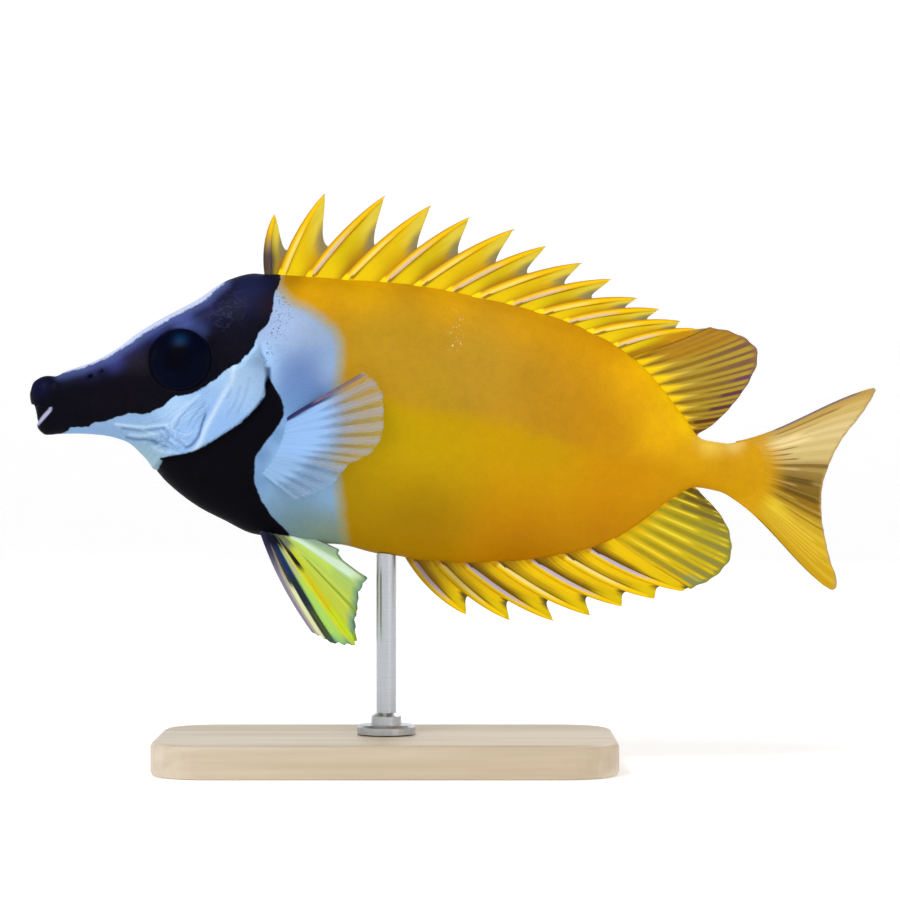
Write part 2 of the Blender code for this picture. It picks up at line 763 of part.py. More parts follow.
def make_median_fin(name, root, below, spine_sizes, soft_sizes, notch, parts, pose):
    """A spiny fin and the soft fin behind it, as two nodes that meet at a thin cut."""
    turn = -1 if below else 1
    spines = spine_rays(root, below, *spine_sizes)
    roots_x, tips, count = soft_sizes
    soft = soft_rays(root, root.distance_to_x(roots_x), tips, count)
    lead = Ray(root, soft[0].place - GAP, soft[0].tip, 0.0, soft[0].widths, soft[0].halves)
    lead.base, lead.tip, lead.control = (
        p + GAP * soft[0].forward(0.5, turn) for p in (soft[0].base, soft[0].tip, soft[0].control)
    )
    notches = list(np.linspace(*notch, len(spines)))
    dips = [FIN_DIP] * (len(spines) - 1) + [0.0]
    sheet = fin_sheet(root, turn, spines, [*notches, 0.97], closing=lead, dips=dips)
    spiny = sheet.solid(f"{name}_spiny", on_middle_plane, pose, parts)
    sheet = fin_sheet(root, turn, soft, [1.0] * count, reach=1.0, levels=6)
    rayed = sheet.solid(f"{name}_soft", on_middle_plane, pose, parts)
    finish(spiny, "fin_yellow", FIN_YELLOW, 0.4)
    finish(rayed, "fin_yellow", FIN_YELLOW, 0.4)


def make_dorsal_fin(parts, pose):
    back = body_line(False, GAP)
    spines = (
        DORSAL_SPINE_X, DORSAL_SPINE_LENGTHS, DORSAL_SPINE_LEANS,
        DORSAL_SPINE_BOW, DORSAL_SPINE_RADIUS,
    )
    soft = (DORSAL_SOFT_X, DORSAL_SOFT_TIPS, DORSAL_SOFT_RAYS)
    make_median_fin("dorsal_fin", back, False, spines, soft, DORSAL_WEB_NOTCH, parts, pose)


def make_anal_fin(parts, pose):
    belly = body_line(True, GAP)
    spines = (
        ANAL_SPINE_X, ANAL_SPINE_LENGTHS, ANAL_SPINE_LEANS,
        ANAL_SPINE_BOW, ANAL_SPINE_RADIUS,
    )
    soft = (ANAL_SOFT_X, ANAL_SOFT_TIPS, ANAL_SOFT_RAYS)
    make_median_fin("anal_fin", belly, True, spines, soft, ANAL_WEB_NOTCH, parts, pose)


def make_tail_fin(parts, pose):
    """The forked tail fin, fanned from the arc at the end of the tail."""
    arc = Line([tail_end(share, GAP) for share in np.linspace(-1, 1, 41)])
    places = (0.0006, arc.lengths[-1] - 0.0006)
    rays = soft_rays(arc, places, TAIL_TIPS, TAIL_RAYS, (TAIL_UPPER_BOW, TAIL_LOWER_BOW))
    sheet = fin_sheet(arc, 1, rays, [1.0] * TAIL_RAYS, reach=1.0, levels=6)
    fin = sheet.solid("tail_fin", on_middle_plane, pose, parts)
    finish(fin, "fin_yellow", FIN_YELLOW, 0.4)


def beside_body(side, root, tip, starts, splay, curl):
    """Places a paired fin: its middle plane leaves the root line at a slant and curls back.

    starts are its distances from the fish's middle plane at the two ends of the root line.
    """
    hinge, along = root.at(0), root.direction(0)
    tilt = (starts[1] - starts[0]) / root.lengths[-1]
    away_from_hinge = np.array([-along[1], along[0]])
    if away_from_hinge @ (np.array(tip) - hinge) < 0:
        away_from_hinge = -away_from_hinge

    def place(x, z, half):
        reach = np.array([x, z]) - hinge
        away = max(0.0, float(reach @ away_from_hinge))
        y = starts[0] + tilt * float(reach @ along) + splay * away - curl * away * away
        return (x, side * (y + half), z), (x, side * (y - half), z)

    return place


def make_pectoral_fins(parts, skin, pose):
    """The two breast fins, cut to sit on the flank."""
    root = Line(PECTORAL_ROOT)
    rays = soft_rays(root, (0.0004, root.lengths[-1] - 0.0004), PECTORAL_TIPS, PECTORAL_RAYS)
    starts = [surface_y(*end) - PECTORAL_SUNK for end in PECTORAL_ROOT]
    for side, name in ((-1, "pectoral_fin_left"), (1, "pectoral_fin_right")):
        sheet = fin_sheet(root, 1, rays, [1.0] * PECTORAL_RAYS, reach=1.0, levels=5)
        place = beside_body(side, root, PECTORAL_TIPS[0], starts, PECTORAL_SPLAY, PECTORAL_CURL)
        fin = sheet.solid(name, place, pose, parts)
        boolean(fin, "DIFFERENCE", skin)
        finish(fin, "fin_clear", CLEAR_FIN, 0.3)


def make_pelvic_fins(parts, skin, pose):
    """The two belly fins, each tied to the belly by its inner web."""
    root = Line(PELVIC_ROOT)
    rays = []
    for k, (place, tip, bow) in enumerate(zip(PELVIC_PLACES, PELVIC_TIPS, PELVIC_BOWS)):
        spiny = k in PELVIC_SPINES
        widths = (0.00070, 0.00025) if spiny else (0.00034, 0.00050)
        rays.append(Ray(root, place, tip, bow, widths, widths if spiny else (0.0006, 0.0004)))
    starts = (PELVIC_BESIDE_MIDDLE, PELVIC_BESIDE_MIDDLE)
    for side, name in ((-1, "pelvic_fin_left"), (1, "pelvic_fin_right")):
        sheet = fin_sheet(root, -1, rays, [1.0] * len(rays), reach=1.0, levels=6, dips=PELVIC_DIPS)
        place = beside_body(side, root, PELVIC_TIPS[0], starts, PELVIC_SPLAY, 0.0)
        fin = sheet.solid(name, place, pose, parts)
        boolean(fin, "DIFFERENCE", skin)
        finish(fin, "fin_lime", LIME, 0.4)


def make_eyes(parts, pose):
    for side, name in ((-1, "eye_left"), (1, "eye_right")):
        eye = eyeball(name, side, 0.0, pose, parts)
        finish(eye, "eye", EYE_DARK, 0.08)


def make_stand(parts, skin):
    """A flat rounded plate, and a rod with a turned foot that reaches up to the belly."""
    bpy.ops.mesh.primitive_cube_add(size=1.0)
    plate = bpy.context.object
    plate.name = "stand_plate"
    plate.data.transform(Matrix.Diagonal((*PLATE_SIZE, 1.0)))
    plate.location = (PLATE_X, 0, PLATE_SIZE[2] / 2)
    work = bmesh.new()
    work.from_mesh(plate.data)
    upright = [e for e in work.edges if abs(e.verts[0].co.z - e.verts[1].co.z) > PLATE_SIZE[2] / 2]
    bmesh.ops.bevel(work, geom=upright, offset=PLATE_CORNER, segments=8, profile=0.5, affect="EDGES")
    work.to_mesh(plate.data)
    work.free()
    bevel = plate.modifiers.new("soft_edge", "BEVEL")
    bevel.width, bevel.segments = PLATE_EDGE, 2
    bevel.limit_method, bevel.angle_limit = "ANGLE", math.radians(60)
    move_to(plate, parts)
    finish(plate, "stand_wood", PALE_WOOD, 0.5)

    foot = PLATE_SIZE[2] + GAP
    profile = [
        (0.0, ROD_TOP),
        (ROD_RADIUS, ROD_TOP),
        (ROD_RADIUS, foot + ROD_COLLAR_HEIGHT),
        (ROD_COLLAR_RADIUS, foot + ROD_COLLAR_HEIGHT - 0.0008),
        (ROD_COLLAR_RADIUS, foot + ROD_FOOT_HEIGHT),
        (ROD_FOOT_RADIUS - 0.0006, foot + ROD_FOOT_HEIGHT),
        (ROD_FOOT_RADIUS, foot + ROD_FOOT_HEIGHT - 0.0006),
        (ROD_FOOT_RADIUS, foot),
        (0.0, foot),
    ]
    mesh = bpy.data.meshes.new("stand_rod")
    mesh.from_pydata([(r, 0, z) for r, z in profile], [(k, k + 1) for k in range(8)], [])
    rod = bpy.data.objects.new("stand_rod", mesh)
    rod.location.x = PLATE_X
    parts.objects.link(rod)
    screw = rod.modifiers.new("turned", "SCREW")
    screw.steps = screw.render_steps = 28
    screw.use_merge_vertices, screw.merge_threshold = True, 0.00001
    boolean(rod, "DIFFERENCE", skin)
    finish(rod, "stand_steel", STEEL, 0.25, 1.0)


def move_to(obj, collection):
    for old in list(obj.users_collection):
        old.objects.unlink(obj)
    collection.objects.link(obj)


def main():
    for obj in list(bpy.data.objects):
        bpy.data.objects.remove(obj)
    parts = new_collection("rabbitfish")
    cutters = new_collection("cutters")
    pose = bpy.data.objects.new("fish_pose", None)
    pose.location = (SNOUT_X, 0, SNOUT_Z)
    pose.rotation_euler = (0, NOSE_UP, 0)
    parts.objects.link(pose)
    bpy.context.view_layer.update()

    skin = loft("grown_skin", ring_places(0.0, 0.1785, 60), 32, pose, cutters, grow=GAP)
    make_head(parts, cutters, pose)
    make_torso(parts, cutters, pose)
    make_tail(parts, cutters, pose)
    make_eyes(parts, pose)
    make_dorsal_fin(parts, pose)
    make_anal_fin(parts, pose)
    make_tail_fin(parts, pose)
    make_pectoral_fins(parts, skin, pose)
    make_pelvic_fins(parts, skin, pose)
    make_stand(parts, skin)
    for obj in cutters.objects:
        hide_cutter(obj)


main()
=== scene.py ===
"""Looks of the life-size foxface rabbitfish: its skin, eyes, fins, stand, light and camera.

The fish is dressed in its own frame: x runs from the snout to the tail along the body axis, z is
the height above that axis, and the left side is at -y. The pose then tilts and lifts it onto the
stand. Lengths are metres, except where a name ends in _mm. A Colour is as a screen shows it, from 0
to 255, and a Linear is a colour as the shaders and lamps read it, from 0 to 1.
"""

import logging
import math
from dataclasses import dataclass, field
from enum import Enum
from functools import reduce
from typing import Callable, Optional

import bmesh
import bpy
import numpy as np
from mathutils import Matrix, Vector


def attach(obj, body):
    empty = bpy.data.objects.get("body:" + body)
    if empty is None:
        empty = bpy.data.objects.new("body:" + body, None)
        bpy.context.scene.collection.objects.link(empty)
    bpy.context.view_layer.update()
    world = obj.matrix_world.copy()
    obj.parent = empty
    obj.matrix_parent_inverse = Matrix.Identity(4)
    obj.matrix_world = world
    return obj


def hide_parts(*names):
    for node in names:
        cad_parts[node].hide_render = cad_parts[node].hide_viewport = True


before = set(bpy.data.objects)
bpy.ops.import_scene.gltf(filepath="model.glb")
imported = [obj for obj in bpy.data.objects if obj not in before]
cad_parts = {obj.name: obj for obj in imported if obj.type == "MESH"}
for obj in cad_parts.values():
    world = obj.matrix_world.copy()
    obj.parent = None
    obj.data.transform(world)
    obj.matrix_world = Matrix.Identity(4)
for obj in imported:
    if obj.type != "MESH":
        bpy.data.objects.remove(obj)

log = logging.getLogger("rabbitfish")
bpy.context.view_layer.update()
ROOT = "root"

MM = 0.001
NOSE_UP = math.radians(8.0)
SNOUT = Vector((-0.1007, 0.0, 0.0954))
POSE = Matrix.Translation(SNOUT) @ Matrix.Rotation(NOSE_UP, 4, "Y")
WHITE = (1.0, 1.0, 1.0)

Array = np.ndarray
Material = bpy.types.Material
Node = bpy.types.Node
Piece = bpy.types.Object
Socket = bpy.types.NodeSocket
Tree = bpy.types.NodeTree
Colour = tuple[int, int, int]
Linear = tuple[float, float, float]
Place = tuple[float, float]
Sheeted = Callable[[Array, Array, Array], Array]


class Side(Enum):
    """The two flanks of the fish."""

    LEFT = -1
    RIGHT = 1

    @property
    def word(self) -> str:
        """The side's name in the nodes."""
        return self.name.lower()


class Slot(Enum):
    """The record's material slots."""

    BODY = "body_skin"
    EYE = "eye"
    YELLOW = "fin_yellow"
    CLEAR = "fin_clear"
    LIME = "fin_lime"
    WOOD = "stand_wood"
    STEEL = "stand_steel"


def shade(colour: Colour) -> Linear:
    """The linear colour that the shaders read for a screen colour."""
    shown = (v / 255 for v in colour)
    return tuple(v / 12.92 if v <= 0.04045 else ((v + 0.055) / 1.055) ** 2.4 for v in shown)


def turns(count: int) -> Array:
    """Angles round a ring, in one row."""
    return np.linspace(0, 2 * math.pi, count, endpoint=False)[None, :]


def fade(value: Array, start: float, end: float) -> Array:
    """A soft step down.

    Args:
        value: What the step reads.
        start: It is 1 up to here.
        end: It is 0 from here on.

    Returns:
        The step at each value.
    """
    t = np.clip((np.asarray(value, float) - start) / (end - start), 0, 1)
    return 1 - t * t * (3 - 2 * t)


def hump(value: Array, middle: float, width: float) -> Array:
    """A bell that is 1 at its middle.

    Args:
        value: What the bell reads.
        middle: Where it peaks.
        width: How far off it has fallen to a third.

    Returns:
        The bell at each value.
    """
    return np.exp(-(((value - middle) / width) ** 2))


def smooth_curve(knots: Array, values: Array, at: Array) -> Array:
    """A cubic through values, with slopes that never overshoot a peak.

    Args:
        knots: Where the values are given, rising.
        values: The values there.
        at: Where to read the curve.

    Returns:
        The curve at those places.
    """
    step = np.diff(knots)
    rise = np.diff(values) / step
    slope = np.zeros_like(values)
    slope[0], slope[-1] = rise[0], rise[-1]
    before, after = rise[:-1], rise[1:]
    same_way = before * after > 0
    total = np.where(same_way, before + after, 1.0)
    slope[1:-1] = np.where(same_way, 2 * before * after / total, 0.0)
    i = np.clip(np.searchsorted(knots, at, side="right") - 1, 0, len(step) - 1)
    t = (at - knots[i]) / step[i]
    start = (1 + 2 * t) * (1 - t) ** 2 * values[i] + t * (1 - t) ** 2 * step[i] * slope[i]
    end = t * t * (3 - 2 * t) * values[i + 1] + t * t * (t - 1) * step[i] * slope[i + 1]
    return start + end


def smooth_path(points: tuple, count: int) -> Array:
    """Points along a smooth line.

    Args:
        points: The points that the line runs through.
        count: How many points to give back, evenly spread by length.

    Returns:
        The points, one a row.
    """
    rows = np.asarray(points, float)
    length = np.concatenate([[0], np.cumsum(np.linalg.norm(np.diff(rows, axis=0), axis=1))])
    at = np.linspace(0, length[-1], count)
    return np.stack([smooth_curve(length, axis, at) for axis in rows.T], axis=1)


class Line:
    """A polyline in the side view that can be read at any distance along it."""

    def __init__(self, points: Array) -> None:
        """Keeps the points, one a row, and their distances along the line.

        Args:
            points: The points, one a row.
        """
        self.points = np.asarray(points, float)
        steps = np.linalg.norm(np.diff(self.points, axis=0), axis=1)
        self.lengths = np.concatenate([[0], np.cumsum(steps)])

    @property
    def length(self) -> float:
        """The whole length."""
        return float(self.lengths[-1])

    def at(self, distance: Array) -> Array:
        """The points at distances along the line, which runs on straight past its ends.

        Args:
            distance: One distance or several.

        Returns:
            The points, with their two coordinates on the last axis.
        """
        distance = np.asarray(distance, float)
        inside = np.clip(distance, 0, self.length)
        point = np.stack([np.interp(inside, self.lengths, axis) for axis in self.points.T], -1)
        k = np.clip(np.searchsorted(self.lengths, inside), 1, len(self.lengths) - 1)
        ahead = self.points[k] - self.points[k - 1]
        ahead = ahead / np.linalg.norm(ahead, axis=-1)[..., None]
        return point + (distance - inside)[..., None] * ahead

    def distance_to_x(self, x: float) -> float:
        """How far along the line an x lies, on a line whose x rises."""
        return float(np.interp(x, self.points[:, 0], self.lengths))


def away_from(x: Array, z: Array, line: Array) -> Array:
    """Side-view distance of many places from an open line.

    Args:
        x: Their x.
        z: Their z.
        line: The line's points, one a row.

    Returns:
        The distances, never below 0.
    """
    nearest = np.full(x.shape, np.inf)
    for (ax, az), (bx, bz) in zip(line[:-1], line[1:]):
        ux, uz = bx - ax, bz - az
        t = np.clip(((x - ax) * ux + (z - az) * uz) / max(ux * ux + uz * uz, 1e-18), 0, 1)
        nearest = np.minimum(nearest, np.hypot(x - ax - t * ux, z - az - t * uz))
    return nearest


def inside_mm(x: Array, z: Array, outline_mm: tuple[Place, ...]) -> Array:
    """How deep places lie inside a closed side-view outline.

    Args:
        x: Their x.
        z: Their z.
        outline_mm: The outline's corners, in millimetres.

    Returns:
        Millimetres from the outline, above 0 inside and below 0 outside.
    """
    corners = np.asarray(outline_mm, float) * MM
    closed = np.concatenate([corners, corners[:1]])
    odd = np.zeros(x.shape, bool)
    for (ax, az), (bx, bz) in zip(closed[:-1], closed[1:]):
        spans = (az > z) != (bz > z)
        cross = ax + (z - az) * (bx - ax) / (bz - az if bz != az else 1.0)
        odd ^= spans & (x < cross)
    return np.where(odd, 1.0, -1.0) * away_from(x, z, closed) / MM


@dataclass(frozen=True)
class Touch:
    """A soft touch of colour on the skin, at a place in the side view."""

    x_mm: float
    z_mm: float
    reach_mm: float
    colour: Colour
    strength: float = 1.0


def paint(
    piece: Piece, name: str, places: Array, base: Colour, touches: tuple[Touch, ...]
) -> None:
    """Keeps one colour a point on a piece: soft touches of colour over a base.

    Args:
        piece: The piece.
        name: The colours' name.
        places: Where the points lie in the side view, in millimetres, one a row.
        base: The colour away from all touches.
        touches: The touches of colour.
    """
    total = np.full((len(places), 1), 0.35)
    colour = total * np.array(shade(base))
    for touch in touches:
        far = np.hypot(*(places - (touch.x_mm, touch.z_mm)).T)[:, None] / touch.reach_mm
        weight = touch.strength * np.exp(-far * far)
        colour = colour + weight * np.array(shade(touch.colour))
        total = total + weight
    shown = np.concatenate([colour / total, np.ones_like(total)], axis=1)
    attribute = piece.data.attributes.new(name, "FLOAT_COLOR", "POINT")
    attribute.data.foreach_set("color", shown.astype(np.float32).ravel())


@dataclass(frozen=True)
class Fold:
    """A ridge, or below 0 a groove, drawn along a line in the side view."""

    height_mm: float
    width_mm: float
    points_mm: tuple[Place, ...]

    def rise(self, x: Array, z: Array) -> Array:
        """The fold's height over the skin.

        Args:
            x: Places along the axis.
            z: Their heights.

        Returns:
            Metres over the skin at each place.
        """
        away = away_from(x, z, smooth_path(self.points_mm, 8 * len(self.points_mm)) * MM)
        return self.height_mm * MM * np.exp(-((away / (self.width_mm * MM)) ** 2))


class Draft:
    """Points, faces and marks of one mesh, gathered piece by piece."""

    def __init__(self) -> None:
        """Starts empty."""
        self.points: list[Array] = []
        self.faces: list[tuple[int, ...]] = []
        self.marks: dict[str, list[Array]] = {}
        self.count = 0

    def add(self, points: Array, marks: dict[str, Array]) -> Array:
        """Adds points on a grid.

        Args:
            points: An array with three coordinates on its last axis.
            marks: Values to keep at the points, each spread over the grid's shape.

        Returns:
            The points' numbers, in the grid's shape.
        """
        shape = points.shape[:-1]
        total = int(np.prod(shape))
        for name in {**self.marks, **marks}:
            kept = self.marks.setdefault(name, [np.zeros(self.count)] if self.count else [])
            value = np.asarray(marks.get(name, 0.0), float)
            kept.append(np.broadcast_to(value, shape).reshape(-1))
        self.points.append(points.reshape(-1, 3))
        numbers = np.arange(self.count, self.count + total).reshape(shape)
        self.count += total
        return numbers

    def skin_over(self, numbers: Array, around: bool = False, turned: bool = False) -> None:
        """Fills a grid of points with four-sided faces.

        Args:
            numbers: The points' numbers, rows by columns.
            around: Whether the last column joins the first.
            turned: Whether the faces look the other way.
        """
        right = np.roll(numbers, -1, axis=1) if around else numbers[:, 1:]
        left = numbers if around else numbers[:, :-1]
        quads = np.stack([left[:-1], right[:-1], right[1:], left[1:]], axis=-1).reshape(-1, 4)
        if turned:
            quads = quads[:, ::-1]
        self.faces += [tuple(q) for q in quads.tolist()]

    def sheet(
        self, spot: Array, half: Array, placed: Sheeted, marks: dict[str, Array], off: object = 0.0
    ) -> None:
        """Adds a thin closed sheet.

        Args:
            spot: Its side-view points, rows by columns.
            half: Half its thickness at them.
            placed: Places its two faces.
            marks: Values to keep, the same on both faces.
            off: How far off the fin's middle it lies.
        """
        sides = [placed(spot[..., 0], spot[..., 1], off + way * half) for way in (-1, 1)]
        front, back = (self.add(side, marks) for side in sides)
        self.skin_over(front)
        self.skin_over(back, turned=True)
        for rim in (
            (front[0], back[0]), (back[-1], front[-1]),
            (back[:, 0], front[:, 0]), (front[:, -1], back[:, -1]),
        ):
            self.skin_over(np.stack(rim)[:, ::-1])

    def tube(self, rings: Array, marks: dict[str, Array]) -> None:
        """Adds a closed tube.

        Args:
            rings: The points, rings by places round each ring.
            marks: Values to keep.
        """
        numbers = self.add(rings, marks)
        self.skin_over(numbers, around=True)
        self.faces += [tuple(numbers[0].tolist()[::-1]), tuple(numbers[-1].tolist())]

    def rod(
        self, centre: Array, wide: Array, thick: Array, turn: Array, placed: Sheeted,
        marks: dict[str, Array], off: object = 0.0,
    ) -> None:
        """Adds a rod along a line in the side view.

        Args:
            centre: The line's points.
            wide: Its half width in the side view.
            thick: Its half thickness across.
            turn: Angles round each of its rings.
            placed: Places its points.
            marks: Values to keep.
            off: How far off the fin's middle it lies.
        """
        heading = np.gradient(centre, axis=0)
        heading /= np.maximum(np.linalg.norm(heading, axis=1), 1e-12)[:, None]
        x = centre[:, :1] - heading[:, 1:] * wide * np.cos(turn)
        z = centre[:, 1:] + heading[:, :1] * wide * np.cos(turn)
        self.tube(placed(x, z, off + thick * np.sin(turn)), marks)

    def make(self, name: str, pose: Matrix = POSE) -> Piece:
        """Makes the object.

        Args:
            name: The piece's name.
            pose: Where its frame stands in the world.

        Returns:
            The object, linked, posed and shaded smooth.
        """
        mesh = bpy.data.meshes.new(name)
        mesh.from_pydata(np.concatenate(self.points).tolist(), [], self.faces)
        for key, parts in self.marks.items():
            attribute = mesh.attributes.new(key, "FLOAT", "POINT")
            attribute.data.foreach_set("value", np.concatenate(parts).astype(np.float32))
        tidy = bmesh.new()
        tidy.from_mesh(mesh)
        bmesh.ops.recalc_face_normals(tidy, faces=tidy.faces)
        tidy.to_mesh(mesh)
        tidy.free()
        mesh.shade_smooth()
        piece = bpy.data.objects.new(name, mesh)
        bpy.context.scene.collection.objects.link(piece)
        piece.matrix_world = pose
        return piece


def settle(piece: Piece, finish: object, slot: Slot, *nodes: str) -> None:
    """Dresses a finished piece and puts it on its body.

    Args:
        piece: The piece.
        finish: Its finish.
        slot: The record's slot; not used.
        nodes: The nodes that it stands for.
    """
    piece.data.materials.append(finish.material())
    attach(piece, ROOT)
    if nodes:
        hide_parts(*nodes)
    log.info("%s: %d faces", piece.name, len(piece.data.polygons))


class Graph:
    """Builds the nodes of one material or shader group."""

    def __init__(self, tree: Tree) -> None:
        """Keeps the node tree that it fills."""
        self.tree = tree

    def node(self, kind: str, **settings: object) -> Node:
        """Adds a node.

        Args:
            kind: Its type, as Blender calls it, without the ShaderNode in front.
            settings: Properties to set on it.

        Returns:
            The node.
        """
        made = self.tree.nodes.new(kind if kind.startswith("Node") else "ShaderNode" + kind)
        for key, value in settings.items():
            setattr(made, key, value)
        return made

    def feed(self, socket: Socket, value: object) -> None:
        """Links or sets one input.

        Args:
            socket: The input.
            value: An output to link, or a plain value or a screen colour to set.
        """
        if isinstance(value, Socket):
            self.tree.links.new(value, socket)
        elif value is not None:
            if socket.type == "RGBA" and len(value) == 3:
                value = (*shade(value), 1.0)
            socket.default_value = value

    def maths(self, operation: str, *values: object, clamp: bool = False) -> Socket:
        """Adds a Math node.

        Args:
            operation: Its operation.
            values: Its inputs, in order.
            clamp: Whether the result stays from 0 to 1.

        Returns:
            Its result.
        """
        made = self.node("Math", operation=operation, use_clamp=clamp)
        for socket, value in zip(made.inputs, values):
            self.feed(socket, value)
        return made.outputs[0]

    def times(self, *values: object) -> Socket:
        """The product of its values."""
        return reduce(lambda a, b: self.maths("MULTIPLY", a, b), values)

    def plus(self, value: object, factor: object, base: object, clamp: bool = False) -> Socket:
        """A value times a factor, plus a base."""
        return self.maths("MULTIPLY_ADD", value, factor, base, clamp=clamp)

    def scaled(self, operation: str, value: object, by: object) -> Socket:
        """Adds a Vector Math node that stretches a vector or scales a colour.

        Args:
            operation: MULTIPLY for three factors, SCALE for one.
            value: The vector or colour.
            by: The factors.

        Returns:
            The result.
        """
        made = self.node("VectorMath", operation=operation)
        self.feed(made.inputs[0], value)
        self.feed(made.inputs["Scale" if operation == "SCALE" else 1], by)
        return made.outputs[0]

    def paint(self, below: object, above: object, *shares: object) -> Socket:
        """Lays one colour over another by the product of some shares."""
        return self.blend(self.times(*shares), below, above)

    def step(self, value: object, start: object, end: object) -> Socket:
        """A soft step up from 0 at start to 1 at end.

        Args:
            value: What it reads.
            start: Where it leaves 0.
            end: Where it reaches 1.

        Returns:
            The step.
        """
        made = self.node("MapRange", interpolation_type="SMOOTHSTEP")
        for key, given in (("Value", value), ("From Min", start), ("From Max", end)):
            self.feed(made.inputs[key], given)
        return made.outputs["Result"]

    def blend(self, share: object, below: object, above: object) -> Socket:
        """Mixes two colours.

        Args:
            share: How much of the second shows.
            below: The first colour.
            above: The second colour.

        Returns:
            The mixed colour.
        """
        made = self.node("Mix", data_type="RGBA", clamp_factor=True)
        self.feed(made.inputs[0], share)
        self.feed(made.inputs[6], below)
        self.feed(made.inputs[7], above)
        return made.outputs[2]

    def mark(self, name: str) -> Socket:
        """A number kept on the mesh."""
        return self.node("Attribute", attribute_name=name).outputs["Fac"]

    def colours(self, name: str) -> Socket:
        """A colour kept on the mesh."""
        return self.node("Attribute", attribute_name=name).outputs["Color"]

    def grid(self) -> Socket:
        """The piece's own coordinates."""
        return self.node("TexCoord").outputs["Object"]

    def vector(self, x: object, y: object, z: object) -> Socket:
        """A vector from three numbers.

        Args:
            x: Its first number.
            y: Its second number.
            z: Its third number.

        Returns:
            The vector.
        """
        made = self.node("CombineXYZ")
        for socket, value in zip(made.inputs, (x, y, z)):
            self.feed(socket, value)
        return made.outputs[0]

    def noise(self, place: object, scale: object, detail: float = 3.0) -> Socket:
        """Soft noise round 0.5.

        Args:
            place: The vector that it reads.
            scale: Its scale.
            detail: How many octaves it has.

        Returns:
            The noise.
        """
        made = self.node("TexNoise")
        self.feed(made.inputs["Vector"], place)
        self.feed(made.inputs["Scale"], scale)
        made.inputs["Detail"].default_value = detail
        return made.outputs["Fac"]

    def ramp(self, value: object, stops: tuple[tuple[float, Colour], ...]) -> Socket:
        """Colours along a number from 0 to 1.

        Args:
            value: The number.
            stops: Places on the ramp and their colours.

        Returns:
            The colour.
        """
        made = self.node("ValToRGB")
        bar = made.color_ramp
        while len(bar.elements) < len(stops):
            bar.elements.new(0.5)
        for element, (place, colour) in zip(bar.elements, stops):
            element.position, element.color = place, (*shade(colour), 1.0)
        self.feed(made.inputs[0], value)
        return made.outputs[0]

    def group(self, made: Tree, **values: object) -> Node:
        """Places a shader group.

        Args:
            made: The group.
            values: Its inputs by name, with _ for a space.

        Returns:
            The group's node.
        """
        placed = self.node("Group", node_tree=made)
        for key, value in values.items():
            self.feed(placed.inputs[key.replace("_", " ")], value)
        return placed


def new_group(name: str, inputs: dict[str, object], outputs: dict[str, str]) -> tuple:
    """Starts a shader group.

    Args:
        name: The group's name.
        inputs: Each input's name and default, None for a vector.
        outputs: Each output's name and whether it is a Float, Color or Vector.

    Returns:
        The group, its graph, its inputs and its outputs.
    """
    made = bpy.data.node_groups.new(name, "ShaderNodeTree")
    graph = Graph(made)
    for key, value in inputs.items():
        kind = "Vector" if value is None else "Color" if isinstance(value, tuple) else "Float"
        socket = made.interface.new_socket(
            name=key, in_out="INPUT", socket_type="NodeSocket" + kind
        )
        if value is not None:
            socket.default_value = value
    for key, kind in outputs.items():
        made.interface.new_socket(name=key, in_out="OUTPUT", socket_type="NodeSocket" + kind)
    return made, graph, graph.node("NodeGroupInput").outputs, graph.node("NodeGroupOutput").inputs


